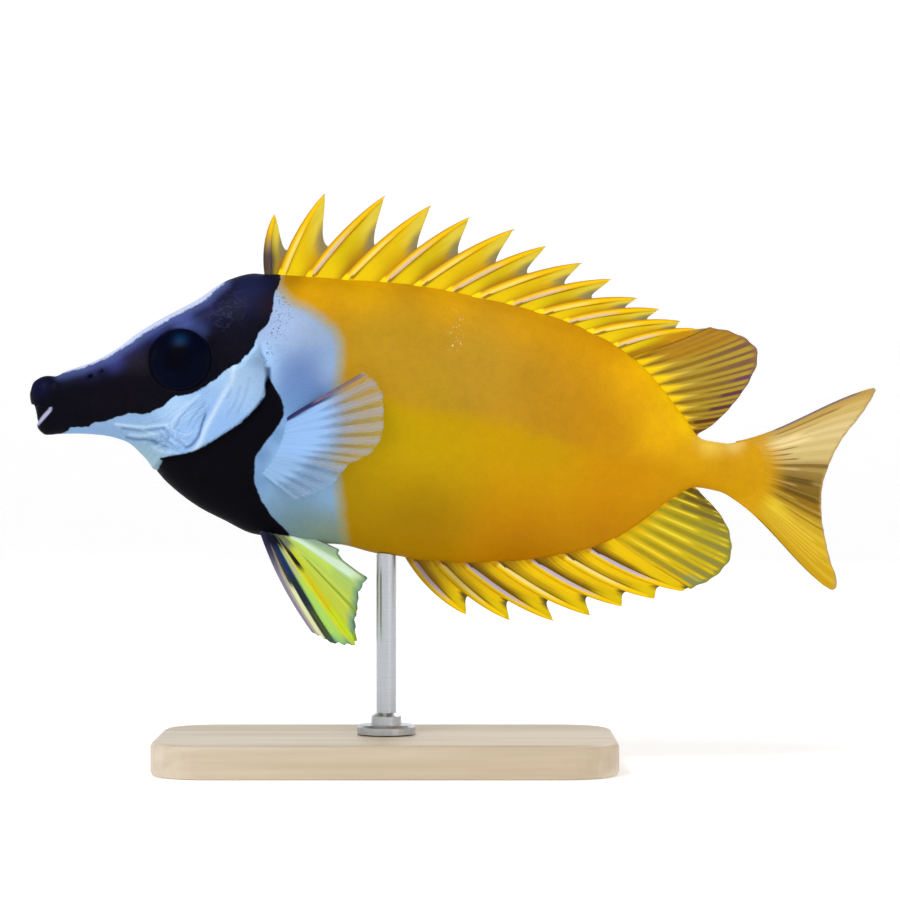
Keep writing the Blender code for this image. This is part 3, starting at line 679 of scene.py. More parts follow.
class SharedEffects:
    """The shader groups that several finishes share."""

    def __init__(self) -> None:
        """Builds each group once."""
        self.edge = self._ragged_edge()
        self.scales = self._fine_scales()
        self.mottle = self._mottle()
        self.streaks = self._ray_streaks()

    def _ragged_edge(self) -> Tree:
        """The finely broken edge between two fields of colour.

        Returns:
            The shader group.
        """
        made, graph, given, wanted = new_group(
            "ragged_edge",
            {"Place": None, "Depth": 0.0, "Ragged": 0.5, "Grain": 900.0, "Softness": 0.2},
            {"Mask": "Float"},
        )
        stir = graph.maths("SUBTRACT", graph.noise(given["Place"], given["Grain"], 4.0), 0.5)
        depth = graph.plus(stir, given["Ragged"], given["Depth"])
        start = graph.times(given["Softness"], -1.0)
        graph.feed(wanted["Mask"], graph.step(depth, start, given["Softness"]))
        return made

    def _fine_scales(self) -> Tree:
        """Tiny scales set in the skin, as height and as a faint net of painted shade in the grooves
        between them.

        Returns:
            The shader group.
        """
        made, graph, given, wanted = new_group(
            "fine_scales", {"Place": None, "Scale": 2300.0, "Grain": 3600.0, "Rough": 0.35},
            {"Height": "Float", "Net": "Float"},
        )
        cells = graph.node("TexVoronoi", feature="F1")
        wave = graph.scaled("MULTIPLY", given["Place"], (0.8, 1.0, 1.25))
        graph.feed(cells.inputs["Vector"], wave)
        graph.feed(cells.inputs["Scale"], given["Scale"])
        dome = graph.step(cells.outputs["Distance"], 0.75, 0.1)
        speck = graph.noise(given["Place"], given["Grain"], 2.0)
        graph.feed(wanted["Height"], graph.plus(speck, given["Rough"], dome))
        # The net runs along the grooves between the scales and is laid on as painted shade.
        graph.feed(wanted["Net"], graph.step(cells.outputs["Distance"], 0.45, 0.8))
        return made

    def _mottle(self) -> Tree:
        """Cloudy variation of a colour at two sizes.

        Returns:
            The shader group.
        """
        made, graph, given, wanted = new_group(
            "mottle",
            {"Place": None, "Colour": (0.5, 0.5, 0.5, 1.0), "Large": 60.0, "Small": 420.0,
             "Depth": 0.2},
            {"Colour": "Color"},
        )
        clouds = graph.maths("SUBTRACT", graph.noise(given["Place"], given["Large"], 2.0), 0.5)
        grains = graph.maths("SUBTRACT", graph.noise(given["Place"], given["Small"], 4.0), 0.5)
        light = graph.plus(graph.plus(grains, 0.6, clouds), given["Depth"], 1.0)
        graph.feed(wanted["Colour"], graph.scaled("SCALE", given["Colour"], light))
        return made

    def _ray_streaks(self) -> Tree:
        """Fine streaks that run along a fin's rays.

        Returns:
            The shader group.
        """
        made, graph, given, wanted = new_group(
            "ray_streaks", {"Across": 0.0, "Along": 0.0, "Fineness": 9.0, "Length": 2.5},
            {"Streak": "Float", "Height": "Float"},
        )
        across = graph.times(given["Across"], given["Fineness"])
        place = graph.vector(across, graph.times(given["Along"], given["Length"]), 0.0)
        graph.feed(wanted["Streak"], graph.noise(place, 1.0, 3.0))
        graph.feed(wanted["Height"], graph.noise(place, 2.6, 2.0))
        return made


EFFECTS = SharedEffects()


@dataclass(frozen=True)
class Surface:
    """How glossy and wet a finish is, set on the shader itself."""

    roughness: float = 0.42
    metallic: float = 0.0
    coat: float = 0.0
    coat_roughness: float = 0.2
    specular: float = 0.5

    def start(self, name: str) -> tuple[Material, Graph, Node]:
        """Makes a material with this surface.

        Args:
            name: The material's name.

        Returns:
            The material, its graph and its shader.
        """
        material = bpy.data.materials.new(name)
        material.use_nodes = True
        shader = material.node_tree.nodes["Principled BSDF"]
        for key, value in (
            ("Roughness", self.roughness), ("Metallic", self.metallic), ("Coat Weight", self.coat),
            ("Coat Roughness", self.coat_roughness), ("Specular IOR Level", self.specular),
        ):
            shader.inputs[key].default_value = value
        return material, Graph(material.node_tree), shader


def raise_bump(
    graph: Graph, shader: Node, height: object, distance: float, strength: float = 1.0
) -> None:
    """Feeds a height into a shader's normal.

    Args:
        graph: The material's graph.
        shader: Its shader.
        height: The height, about 0 to 1.
        distance: How high 1 is, in metres.
        strength: How much of it shows.
    """
    bump = graph.node("Bump")
    bump.inputs["Distance"].default_value = distance
    bump.inputs["Strength"].default_value = strength
    graph.feed(bump.inputs["Height"], height)
    graph.feed(shader.inputs["Normal"], bump.outputs["Normal"])


@dataclass(frozen=True)
class Field:
    """One field of colour on the skin: its mark and its broken edge."""

    mark: str
    ragged: float
    grain: float
    softness: float


@dataclass(frozen=True)
class SkinFinish:
    """The skin: yellow body, pale cheeks and shoulder, black mask and black breast."""

    surface: Surface = Surface(roughness=0.46, coat=0.04, coat_roughness=0.25, specular=0.03)
    wet: float = 0.04
    wet_mask: float = 0.02
    wet_breast: float = 0.0
    lower: Field = Field("lower", 4.0, 120.0, 2.6)
    shoulder: Field = Field("shoulder", 1.2, 420.0, 2.1)
    breast: Field = Field("breast", 0.6, 700.0, 0.25)
    mask: Field = Field("mask", 1.05, 620.0, 0.20)
    blaze: Field = Field("blaze", 1.1, 1100.0, 0.30)
    blaze_colour: Colour = (200, 211, 240)
    sheen: Colour = (84, 98, 156)
    fringe: Colour = (150, 156, 84)
    lip_line: Colour = (176, 174, 206)
    # Painted highlight on the head's fold ridges, and painted shade in their grooves and in the cheek's
    # fine wrinkle lines.
    ridge: Colour = (206, 226, 248)
    groove: Colour = (84, 110, 150)
    # Painted shade in the nostrils' pits.
    nostril: Colour = (3, 3, 8)
    speck: Colour = (88, 104, 148)
    # Painted sheen on the nape's fine wrinkle lines.
    nape_wrinkle_sheen: Colour = (58, 60, 108)
    scuff: Colour = (236, 222, 190)
    scale_height: float = 0.00003

    def material(self) -> Material:
        """Builds the skin's material.

        Returns:
            The material.
        """
        material, graph, shader = self.surface.start("fish_skin")
        place = graph.grid()
        upper = self._mottled(graph, place, "ochre", 75.0, 480.0, 0.30)
        lower = self._mottled(graph, place, "gold", 75.0, 480.0, 0.20)
        colour = graph.blend(self._field(graph, place, self.lower), upper, lower)
        flakes = graph.step(graph.noise(place, 1500.0, 2.0), 0.60, 0.70)
        colour = graph.paint(colour, self.scuff, graph.mark("scuff"), flakes)
        pale = self._mottled(graph, place, "pale", 110.0, 900.0, 0.22)
        crease, crinkled, nape = graph.mark("crease"), graph.mark("crinkled"), graph.mark("nape")
        # Painted highlight on the fold ridges, and painted shade in their grooves and in the fine wrinkle
        # lines.
        pale = graph.paint(pale, self.ridge, crease, 0.75)
        pale = graph.paint(pale, self.groove, crease, -0.9)
        lines = self._crinkle(graph, place)
        pale = graph.paint(pale, self.groove, lines, crinkled)
        dots = graph.step(graph.noise(place, 1900.0, 2.0), 0.56, 0.68)
        pale = graph.paint(pale, self.speck, graph.mark("speckled"), dots)
        shoulder = self._field(graph, place, self.shoulder)
        colour = graph.blend(shoulder, colour, pale)
        outer = graph.maths("SUBTRACT", 1.0, shoulder)
        colour = graph.paint(colour, self.fringe, shoulder, outer, 1.3)
        dark = self._mottled(graph, place, "dark", 140.0, 1100.0, 0.5)
        # Painted sheen on the nape's fine wrinkle lines.
        dark = graph.paint(dark, self.nape_wrinkle_sheen, lines, nape)
        breast = self._field(graph, place, self.breast)
        mask = self._field(graph, place, self.mask)
        colour = graph.blend(breast, colour, dark)
        colour = graph.blend(mask, colour, dark)
        near_blaze = graph.step(graph.mark("blaze"), -2.6, 0.3)
        colour = graph.paint(colour, self.sheen, near_blaze, 0.8)
        colour = graph.blend(self._field(graph, place, self.blaze), colour, self.blaze_colour)
        colour = graph.blend(graph.mark("lip_line"), colour, self.lip_line)
        # Painted shade in the nostrils' pits.
        colour = graph.blend(graph.mark("pit"), colour, self.nostril)
        scales = graph.group(EFFECTS.scales, Place=place)
        # Painted shade in the fine grooves between the scales.
        colour = graph.paint(colour, (0, 0, 0), scales.outputs["Net"], 0.05)
        graph.feed(shader.inputs["Base Color"], colour)
        wet = graph.plus(mask, self.wet_mask - self.wet, self.wet)
        wet = graph.plus(breast, self.wet_breast - self.wet, wet, clamp=True)
        graph.feed(shader.inputs["Coat Weight"], wet)
        folds = graph.maths("SINE", graph.times(graph.mark("fold"), 2 * math.pi))
        stirred = graph.maths("ADD", folds, graph.noise(place, 1300.0, 3.0))
        fine = graph.times(stirred, graph.mark("cheek"))
        height = graph.plus(fine, 2.2, scales.outputs["Height"])
        height = graph.plus(graph.times(lines, crinkled), -3.0, height)
        height = graph.plus(graph.times(lines, nape), 2.0, height)
        raise_bump(graph, shader, height, self.scale_height, 0.8)
        return material

    def _crinkle(self, graph: Graph, place: object) -> Socket:
        """Thin wandering lines, as in skin that folds finely.

        Args:
            graph: The material's graph.
            place: Where each point lies.

        Returns:
            1 on a line and 0 away from all lines.
        """
        bent = graph.scaled("MULTIPLY", place, (0.75, 1.0, 1.2))
        wander = graph.maths("SUBTRACT", graph.noise(bent, 520.0, 1.5), 0.5)
        return graph.step(graph.maths("ABSOLUTE", wander), 0.045, 0.0)

    def _mottled(
        self, graph: Graph, place: object, name: str, large: float, small: float, depth: float
    ) -> Socket:
        """A painted colour with cloudy variation."""
        return graph.group(
            EFFECTS.mottle, Place=place, Colour=graph.colours(name), Large=large, Small=small,
            Depth=depth,
        ).outputs["Colour"]

    def _field(self, graph: Graph, place: object, given: Field) -> Socket:
        """The mask of one field of colour."""
        return graph.group(
            EFFECTS.edge, Place=place, Depth=graph.mark(given.mark), Ragged=given.ragged,
            Grain=given.grain, Softness=given.softness,
        ).outputs["Mask"]


@dataclass
class BodyForm:
    """The body's plain form, in sections along its axis: x, top, bottom, half width."""

    sections: tuple[tuple[float, float, float, float], ...] = (
        (0.0000, -0.0052, -0.0060, 0.0004), (0.0004, -0.0030, -0.0074, 0.0018),
        (0.0015, -0.0018, -0.0098, 0.0029), (0.0023, -0.0013, -0.0121, 0.0034),
        (0.0034, -0.0009, -0.0139, 0.0038), (0.0052, -0.0006, -0.0149, 0.0040),
        (0.0085, 0.0013, -0.0142, 0.0043), (0.0140, 0.0041, -0.0134, 0.0051),
        (0.0190, 0.0078, -0.0131, 0.0060), (0.0240, 0.0127, -0.0137, 0.0071),
        (0.0290, 0.0167, -0.0166, 0.0084), (0.0360, 0.0218, -0.0225, 0.0100),
        (0.0440, 0.0284, -0.0270, 0.0113), (0.0500, 0.0305, -0.0291, 0.0120),
        (0.0580, 0.0307, -0.0315, 0.0127), (0.0700, 0.0315, -0.0319, 0.0131),
        (0.0790, 0.0321, -0.0311, 0.0131), (0.0880, 0.0325, -0.0320, 0.0128),
        (0.1050, 0.0316, -0.0312, 0.0115), (0.1200, 0.0299, -0.0288, 0.0095),
        (0.1330, 0.0266, -0.0252, 0.0073), (0.1430, 0.0218, -0.0204, 0.0055),
        (0.1500, 0.0160, -0.0145, 0.0044), (0.1560, 0.0102, -0.0085, 0.0036),
        (0.1620, 0.0059, -0.0056, 0.0031), (0.1670, 0.0058, -0.0059, 0.0027),
        (0.1720, 0.0075, -0.0079, 0.0021), (0.1790, 0.0104, -0.0112, 0.0012),
    )
    widest_above_middle: float = 0.08
    tail_end_x: float = 0.1782
    tail_end_bow: float = 0.0046
    dense: Array = field(init=False)

    def __post_init__(self) -> None:
        """Reads the sections off along the outline, so that the blunt snout stays round."""
        self.dense = smooth_path(self.sections, 1400)

    def section(self, x: Array) -> tuple[Array, Array, Array]:
        """The body's section at each x.

        Args:
            x: Places along the axis.

        Returns:
            Middle heights, half heights and half widths.
        """
        top, bottom, half_width = (np.interp(x, self.dense[:, 0], self.dense[:, k]) for k in (1, 2, 3))
        return (top + bottom) / 2, (top - bottom) / 2, half_width

    def flank_y(self, x: Array, z: Array) -> Array:
        """Distance of the flank from the middle plane.

        Args:
            x: Places along the axis.
            z: Heights.

        Returns:
            The distances.
        """
        middle, half_height, half_width = self.section(x)
        up = np.clip((z - middle) / half_height - self.widest_above_middle, -1, 1)
        return half_width * np.sqrt(1 - up**2)

    def along_outline(self, start: float, end: float, count: int) -> Array:
        """Places on the axis, closer together where the outline turns fast.

        Args:
            start: The first place.
            end: The last place.
            count: How many.

        Returns:
            The places.
        """
        part = self.dense[(self.dense[:, 0] >= start) & (self.dense[:, 0] <= end)]
        lengths = Line(part).lengths
        return np.interp(np.linspace(0, lengths[-1], count), lengths, part[:, 0])

    def edge_line(self, below: bool, sunk: float) -> Line:
        """The back or the belly in the side view.

        Args:
            below: Whether it is the belly.
            sunk: How deep under the skin it runs.

        Returns:
            The line, from the nape to the tail.
        """
        x = np.linspace(0.0500, 0.1640, 300)
        middle, half_height, _ = self.section(x)
        reach = half_height - sunk
        return Line(np.stack([x, middle - reach if below else middle + reach], axis=1))


@dataclass
class EyePlace:
    """Where the eyes sit and which way they look."""

    x: float = 0.03515
    z: float = 0.00736
    out: float = 0.0089
    look: Vector = field(default_factory=lambda: Vector((-0.19, -1.0, 0.14)).normalized())
    radius: float = 0.0080
    depth: float = 0.0033
    sunk: float = 0.0014

    def matrix(self, side: Side) -> Matrix:
        """The eye's frame, whose Z looks out.

        Args:
            side: Which eye.

        Returns:
            The frame, in the fish's own.
        """
        look = Vector((self.look.x, -side.value * self.look.y, self.look.z))
        turned = look.to_track_quat("Z", "Y").to_matrix().to_4x4()
        return Matrix.Translation((self.x, side.value * self.out, self.z)) @ turned


@dataclass
class Skin:
    """The fish's skin from the lips to the root of the tail fin, in one piece."""

    form: BodyForm
    eye: EyePlace
    finish: SkinFinish = SkinFinish()
    head_rings: int = 256
    trunk_rings: int = 82
    columns: int = 288
    head_end: float = 0.0620
    tail_bend_start: float = 0.1640
    tail_thin_start: float = 0.1715
    tail_edge_half: float = 0.00020
    view_distance: float = 0.80
    view_middle: Place = (0.1017, -0.0050)

    gill_edge: tuple[Place, ...] = (
        (0.0508, 0.0400), (0.0510, 0.0260), (0.0532, 0.0130), (0.0557, 0.0068), (0.0556, 0.0024),
        (0.0538, -0.0020), (0.0470, -0.0090), (0.0400, -0.0141), (0.0342, -0.0162), (0.0322, -0.0196),
        (0.0300, -0.0300),
    )
    gill_raise: float = 0.0008
    gill_reach: float = 0.0055
    gill_lip: float = 0.00022
    gill_drop: float = 0.00055
    cheek_hinge: Place = (0.0545, 0.0100)
    folds: tuple[Fold, ...] = (
        Fold(0.173, 0.63, (
            (47.7, 7.6), (47.5, 4.4), (46.2, 1.0), (44.3, -4.1), (42.9, -8.3), (41.8, -12.7),
            (40.6, -14.0),
        )),
        Fold(-0.245, 0.3, (
            (42.4, -4.7), (42.0, -6.7), (41.8, -8.5), (41.6, -9.9), (41.0, -11.1), (40.1, -12.4),
            (39.0, -13.0),
        )),
        Fold(0.094, 0.5, ((40.1, -0.4), (38.1, -2.7), (35.7, -5.9), (34.9, -7.7), (34.2, -9.0))),
        Fold(-0.086, 0.24, ((39.8, -1.9), (37.3, -5.1), (36.2, -7.0), (35.7, -8.5))),
        Fold(-0.086, 0.24, ((41.8, -2.2), (39.4, -5.9), (38.6, -7.8))),
        Fold(-0.072, 0.24, ((42.9, -3.1), (40.6, -6.4), (39.8, -8.3))),
        Fold(0.086, 0.27, ((36.9, -10.0), (38.0, -10.1), (39.9, -9.3))),
        Fold(0.094, 0.27, ((37.7, -11.3), (39.2, -12.3))),
        Fold(0.086, 0.27, ((34.8, -11.7), (36.7, -12.9))),
        Fold(0.072, 0.24, ((34.8, -9.0), (35.9, -10.1), (35.9, -11.3))),
        Fold(-0.101, 0.24, ((35.1, -10.9), (37.1, -11.9), (38.7, -12.6))),
        Fold(-0.101, 0.24, ((32.9, -11.2), (35.3, -12.6), (37.4, -13.4))),
        Fold(-0.086, 0.24, ((33.0, -9.4), (34.4, -10.4), (34.6, -11.8))),
        Fold(0.144, 0.34, ((21.4, -10.0), (26.3, -9.9), (30.5, -9.2), (33.6, -8.4))),
        Fold(-0.144, 0.29, ((23.0, -10.8), (27.0, -10.8), (30.0, -10.2), (32.8, -9.2))),
        Fold(0.094, 0.3, ((25.0, -12.0), (28.1, -11.8), (30.9, -11.0))),
        Fold(-0.187, 0.35, ((24.3, -12.9), (26.8, -13.0), (29.3, -12.6), (31.9, -13.0))),
        Fold(0.079, 0.27, ((27.8, -10.4), (30.7, -10.9), (32.9, -10.3))),
        Fold(-0.115, 0.27, ((30.4, -12.2), (32.5, -13.0), (34.8, -13.6))),
        Fold(0.086, 0.38, ((31.4, -14.1), (33.9, -14.6), (37.5, -14.6))),
        Fold(-0.072, 0.29, ((47.2, 4.0), (47.5, 2.0), (46.9, -0.1))),
        Fold(-0.05, 0.34, ((49.8, 3.2), (49.3, -0.2), (47.7, -4.1))),
        Fold(-0.05, 0.34, ((51.7, 5.4), (51.3, 1.3), (50.0, -3.0))),
        Fold(-0.50, 0.42, ((55.7, 8.2), (56.2, 4.8))),
    )
    nape_folds: tuple[Fold, ...] = (
        Fold(0.06, 0.30, ((40.1, 22.0), (41.9, 22.0))), Fold(0.05, 0.30, ((43.0, 18.8), (44.8, 20.0))),
        Fold(0.06, 0.35, ((44.5, 18.7), (46.6, 18.6), (48.7, 19.6))),
        Fold(-0.05, 0.35, ((42.4, 20.8), (45.2, 21.4), (47.0, 20.6))),
        Fold(0.08, 0.30, ((13.0, 2.6), (16.5, 4.2), (20.0, 6.6))),
        Fold(0.08, 0.30, ((15.0, 2.9), (18.5, 4.8), (22.0, 7.9))),
        Fold(-0.07, 0.30, ((12.0, 1.6), (16.0, 3.4), (20.5, 5.8))),
    )
    mouth_corner: Place = (0.0054, -0.0086)
    mouth_upper: Place = (-0.0020, -0.0078)
    mouth_lower: Place = (0.0004, -0.0160)
    mouth_depth: float = 0.0006
    lip_groove_x: float = 0.0056
    lip_groove: float = 0.00013
    lip_swell: float = 0.00008
    sheath_height: float = 0.00055
    pore_height: float = 0.00007
    socket_depth: float = 0.0024
    socket_rim: float = 0.00034
    socket_fold: float = 0.00007
    nostril_rim: float = 0.00018
    nostril_depth: float = 0.0008
    crinkled_at: Place = (0.0335, -0.0115)
    nape_at: Place = (0.0435, 0.0212)
    scuffs: tuple[tuple[float, float, float, float], ...] = (
        (0.0992, 0.0206, 1.3, 1.0), (0.0990, 0.0245, 2.6, 0.5),
    )
    blaze_end: float = 0.0475
    nostrils: tuple[tuple[float, float, float], ...] = (
        (0.0136, 0.0006, 0.00066), (0.0162, 0.0022, 0.00046),
    )

    mask_mm: tuple[Place, ...] = (
        (8.9, -20), (8.9, -14.1), (11, -12.4), (15, -11.5), (16.5, -10.3), (19.1, -9.5), (24.2, -7),
        (28.2, -6.6), (31.7, -4.6), (34.6, -1.2), (36.6, -1), (39.8, 0.5), (43.7, 4.1), (45.8, 6.6),
        (48.8, 8.6), (51.6, 12.9), (52.2, 16.4), (54.3, 19.1), (54.8, 22.2), (54.7, 25.4), (55.6, 29),
        (56.2, 40), (-6, 40), (-6, -20),
    )
    blaze_mm: tuple[Place, ...] = (
        (6.4, 0.2), (12, 2.4), (17.6, 5.8), (22.0, 9.6), (26.2, 13.4), (30.6, 16.6), (35.0, 19.9),
        (38.3, 22.3), (40.5, 25.1), (42.4, 27.2), (43.4, 40), (6.0, 40),
    )
    breast_mm: tuple[Place, ...] = (
        (55.8, 7), (57.7, 4.1), (59.6, 2.1), (60.7, -0.1), (61, -2.4), (59.7, -5.7), (56.9, -10.7),
        (55.6, -13.4), (56.2, -19.1), (58.5, -23.2), (61.4, -26.6), (66.2, -30.1), (67.5, -40),
        (29.6, -40), (31.4, -24), (32.8, -19.2), (33.5, -17.4), (33.5, -16.1), (36.1, -15.6),
        (40.1, -14.2), (43.4, -12.1), (46.9, -9.1), (50.9, -5.7), (53.7, -2), (55.8, 1.7), (55.4, 5),
    )
    shoulder_mm: tuple[Place, ...] = (
        (54.9, 50), (55.2, 28.2), (58.6, 25.0), (63.5, 23.6), (66.3, 22.2), (70.0, 19.8), (72.2, 16.3),
        (72.6, 11.5), (73.2, 0.7), (75.2, -13.5), (77.8, -23.4), (79.7, -29.9), (80.5, -50), (-20, -50),
        (-20, 50),
    )
    lower_mm: tuple[Place, ...] = (
        (60, 5.5), (84.5, 4.7), (98.0, 3.7), (112.5, 3.8), (122.4, 2.3), (130.0, 0.2), (142.2, -0.8),
        (152, -1.0), (170, -2.5), (190, -3), (190, -50), (60, -50),
    )
    ochre: Colour = (196, 138, 8)
    # Mostly the body's own tones. The lighter touches along the top edge are partly painted light from
    # above, the dark one under the first spines (58.6 mm) is painted shade, and the two pale ones on the
    # upper edge of the tail's root (163 and 169 mm) are painted highlights.
    ochre_touches: tuple[Touch, ...] = (
        Touch(62, 29, 5, (216, 160, 4)), Touch(58.6, 30.4, 2.6, (150, 104, 6), 1.8),
        Touch(76, 31.5, 6, (222, 166, 3), 1.3), Touch(98, 31, 7, (222, 162, 2), 1.2),
        Touch(83, 16, 10, (178, 140, 30), 1.4), Touch(104, 14, 14, (176, 138, 38), 1.4),
        Touch(122, 10, 12, (178, 128, 20), 1.2), Touch(97, 6, 8, (170, 138, 16)),
        Touch(116, 29, 7, (214, 152, 3)), Touch(130, 23, 7, (208, 146, 4)),
        Touch(138, 8, 8, (194, 134, 6)), Touch(143, 18, 6, (232, 172, 2), 1.3),
        Touch(151, 9, 6, (232, 176, 2), 1.3), Touch(146.8, 22.4, 3.2, (255, 206, 2), 2.4),
        Touch(153.2, 17.2, 3.2, (255, 208, 2), 2.4), Touch(158.2, 10.8, 3.0, (255, 208, 4), 2.4),
        Touch(160, 0, 5, (212, 156, 6), 1.2), Touch(163, 5.2, 2.4, (240, 204, 84), 1.6),
        Touch(169, 6.8, 2.2, (236, 204, 110), 1.4), Touch(176, 3, 5, (206, 152, 8), 1.4),
    )
    gold: Colour = (190, 134, 1)
    # Mostly the body's own tones; the darker touches low on the belly are painted shade.
    gold_touches: tuple[Touch, ...] = (
        Touch(82, -2, 8, (176, 152, 0), 1.2), Touch(96, -6, 12, (186, 154, 0), 1.5),
        Touch(80, -16, 8, (164, 136, 0)), Touch(98, -20, 9, (146, 110, 0), 1.3),
        Touch(84, -26, 8, (148, 116, 0)), Touch(112, -4, 10, (190, 148, 0)),
        Touch(124, -3, 8, (194, 154, 0), 1.2), Touch(122, -13, 12, (192, 134, 0), 1.2),
        Touch(122, -25, 9, (168, 104, 0), 1.2), Touch(142, -8, 10, (196, 134, 0), 1.2),
        Touch(140, -17, 6, (182, 116, 0)), Touch(160, -2, 7, (206, 146, 2), 1.2),
        Touch(172, -5, 6, (206, 152, 4)), Touch(178, -3, 4, (206, 154, 8), 1.2),
    )
    pale: Colour = (132, 168, 212)
    # The darker, olive touches low on the shoulder by the belly are partly the skin's own tint and partly
    # painted shade.
    pale_touches: tuple[Touch, ...] = (
        Touch(50, 5, 6, (176, 208, 240), 1.2), Touch(46, -6, 7, (142, 180, 228), 1.2),
        Touch(35, -4, 4, (172, 204, 236), 1.1), Touch(38, -10, 5, (144, 180, 226)),
        Touch(21, -9, 6, (136, 168, 206)), Touch(28, -13, 4, (140, 174, 198)),
        Touch(30, -18, 4, (152, 180, 182), 1.5), Touch(53, 10, 3, (168, 206, 246), 1.6),
        Touch(65, 7, 6, (90, 114, 166), 1.5), Touch(70.5, 10, 3.4, (148, 174, 212), 1.5),
        Touch(58, 20, 6, (166, 184, 218), 1.2), Touch(66, 20, 6, (146, 162, 188), 1.1),
        Touch(64, 1, 5, (90, 130, 182)), Touch(60.2, -7.4, 2.4, (80, 116, 160), 1.8),
        Touch(57.4, -12.4, 2.4, (72, 104, 150), 1.8), Touch(57.8, -18, 2.8, (92, 128, 170), 1.6),
        Touch(62, -12, 7, (142, 184, 228), 1.4), Touch(70, -16, 7, (132, 172, 208), 1.2),
        Touch(64, -22, 5, (104, 136, 156), 1.2), Touch(68, -26, 5, (100, 128, 132), 1.3),
        Touch(70, -29, 5, (112, 134, 116), 1.3), Touch(76, -30, 5, (122, 132, 84), 1.3),
    )
    dark: Colour = (7, 6, 16)
    # The blue and purple touches at the snout's tip, along its top, in front of and over the eye and on
    # the nape are painted sheen, with a painted highlight on the orbit's upper rim; the purple-brown one
    # below the first spine (53.6 mm) and the near-black ones are the mask's own colour.
    dark_touches: tuple[Touch, ...] = (
        Touch(8, 1.2, 2.6, (24, 32, 82)), Touch(13, 2.6, 2.6, (40, 42, 102)),
        Touch(18.5, 5.4, 2.4, (62, 66, 136), 1.4), Touch(22.5, 9.8, 2.4, (52, 58, 124), 1.2),
        Touch(24.4, 6.0, 2.8, (38, 32, 44), 1.2), Touch(27.5, 13.6, 2.4, (50, 60, 130), 1.3),
        Touch(33, 17.6, 2.6, (58, 66, 140), 1.3), Touch(39, 20.5, 3.0, (36, 38, 84)),
        Touch(45, 23.5, 5, (24, 25, 56)), Touch(49, 27, 4, (28, 36, 78)),
        Touch(34.2, 16.2, 2.0, (74, 90, 152), 2.6), Touch(37.9, 15.4, 1.8, (54, 66, 118), 2.4),
        Touch(53.6, 24, 2.6, (30, 17, 30), 1.6), Touch(2.0, -3.0, 2.6, (12, 18, 58)),
        Touch(34.4, 7.6, 7.0, (5, 5, 16), 2.0), Touch(46, 14, 5, (10, 9, 24), 1.4),
        Touch(20, -5, 7, (9, 5, 15), 1.6), Touch(10, -6, 6, (5, 5, 15), 1.6),
        Touch(50, -18, 16, (5, 4, 9), 1.8),
    )

    def grid(self) -> Array:
        """The plain skin.

        Returns:
            Its points, rings by columns.
        """
        head = self.form.along_outline(0.0, self.head_end, self.head_rings)
        trunk = np.linspace(self.head_end, self.form.tail_end_x, self.trunk_rings + 1)[1:]
        rings = np.concatenate([head, trunk])[:, None]
        turn = self._turns()[None, :]
        bend = self.form.tail_end_bow * (1 - fade(rings, self.tail_bend_start, self.form.tail_end_x))
        x = rings - bend * np.cos(turn) ** 2
        middle, half_height, half_width = self.form.section(x)
        thin = 1 - fade(rings, self.tail_thin_start, self.form.tail_end_x)
        half_width = half_width * (1 - thin) + np.minimum(half_width, self.tail_edge_half) * thin
        lift = np.cos(turn) + self.form.widest_above_middle * np.sin(turn) ** 2
        return np.stack([x, half_width * np.sin(turn), middle + half_height * lift], axis=-1)

    def _turns(self) -> Array:
        """Angles round a section, spread evenly along a tall ellipse.

        Returns:
            The angles, one for each column.
        """
        fine = np.linspace(0, 2 * math.pi, 4001)
        tall = 2.2
        steps = np.hypot(tall * np.diff(np.cos(fine)), np.diff(np.sin(fine)))
        length = np.concatenate([[0], np.cumsum(steps)])
        return np.interp(np.linspace(0, length[-1], self.columns, endpoint=False), length, fine)

    def outward(self, points: Array) -> Array:
        """Directions straight out of a grid of skin.

        Args:
            points: The grid.

        Returns:
            Unit vectors in the grid's shape.
        """
        along = np.gradient(points, axis=0)
        around = np.roll(points, -1, axis=1) - np.roll(points, 1, axis=1)
        normal = np.cross(along, around)
        normal /= np.maximum(np.linalg.norm(normal, axis=-1), 1e-15)[..., None]
        return normal * np.where((normal * self._from_axis(points)).sum(-1) < 0, -1, 1)[..., None]

    def _from_axis(self, points: Array) -> Array:
        """Vectors from the body's middle line, leaning forward at the snout.

        Args:
            points: The points.

        Returns:
            The vectors, one for each point.
        """
        middle, _, _ = self.form.section(points[..., 0])
        forward = -0.004 * fade(points[..., 0], 0.0, 0.004)
        return np.stack([forward, points[..., 1], points[..., 2] - middle], axis=-1)

    def relief(self, points: Array) -> tuple[Array, dict[str, Array]]:
        """Height of the skin's forms over the plain skin.

        Args:
            points: The plain grid.

        Returns:
            The height in metres, and marks that the finish reads.
        """
        x, y, z = points[..., 0], points[..., 1], points[..., 2]
        flank = np.clip(np.abs(y) / 0.003, 0, 1)
        height = self._gill_cover(x, z) * flank
        cheek, fold = self._cheek(x, z)
        wrinkles, crease = self._wrinkles(x, z)
        height = height + wrinkles * flank
        height = height + self._orbit(x, z) * (np.abs(y) > 0.002)
        gape, lip_line = self._gape(x, z)
        height = height - gape + self._lips(x, z)
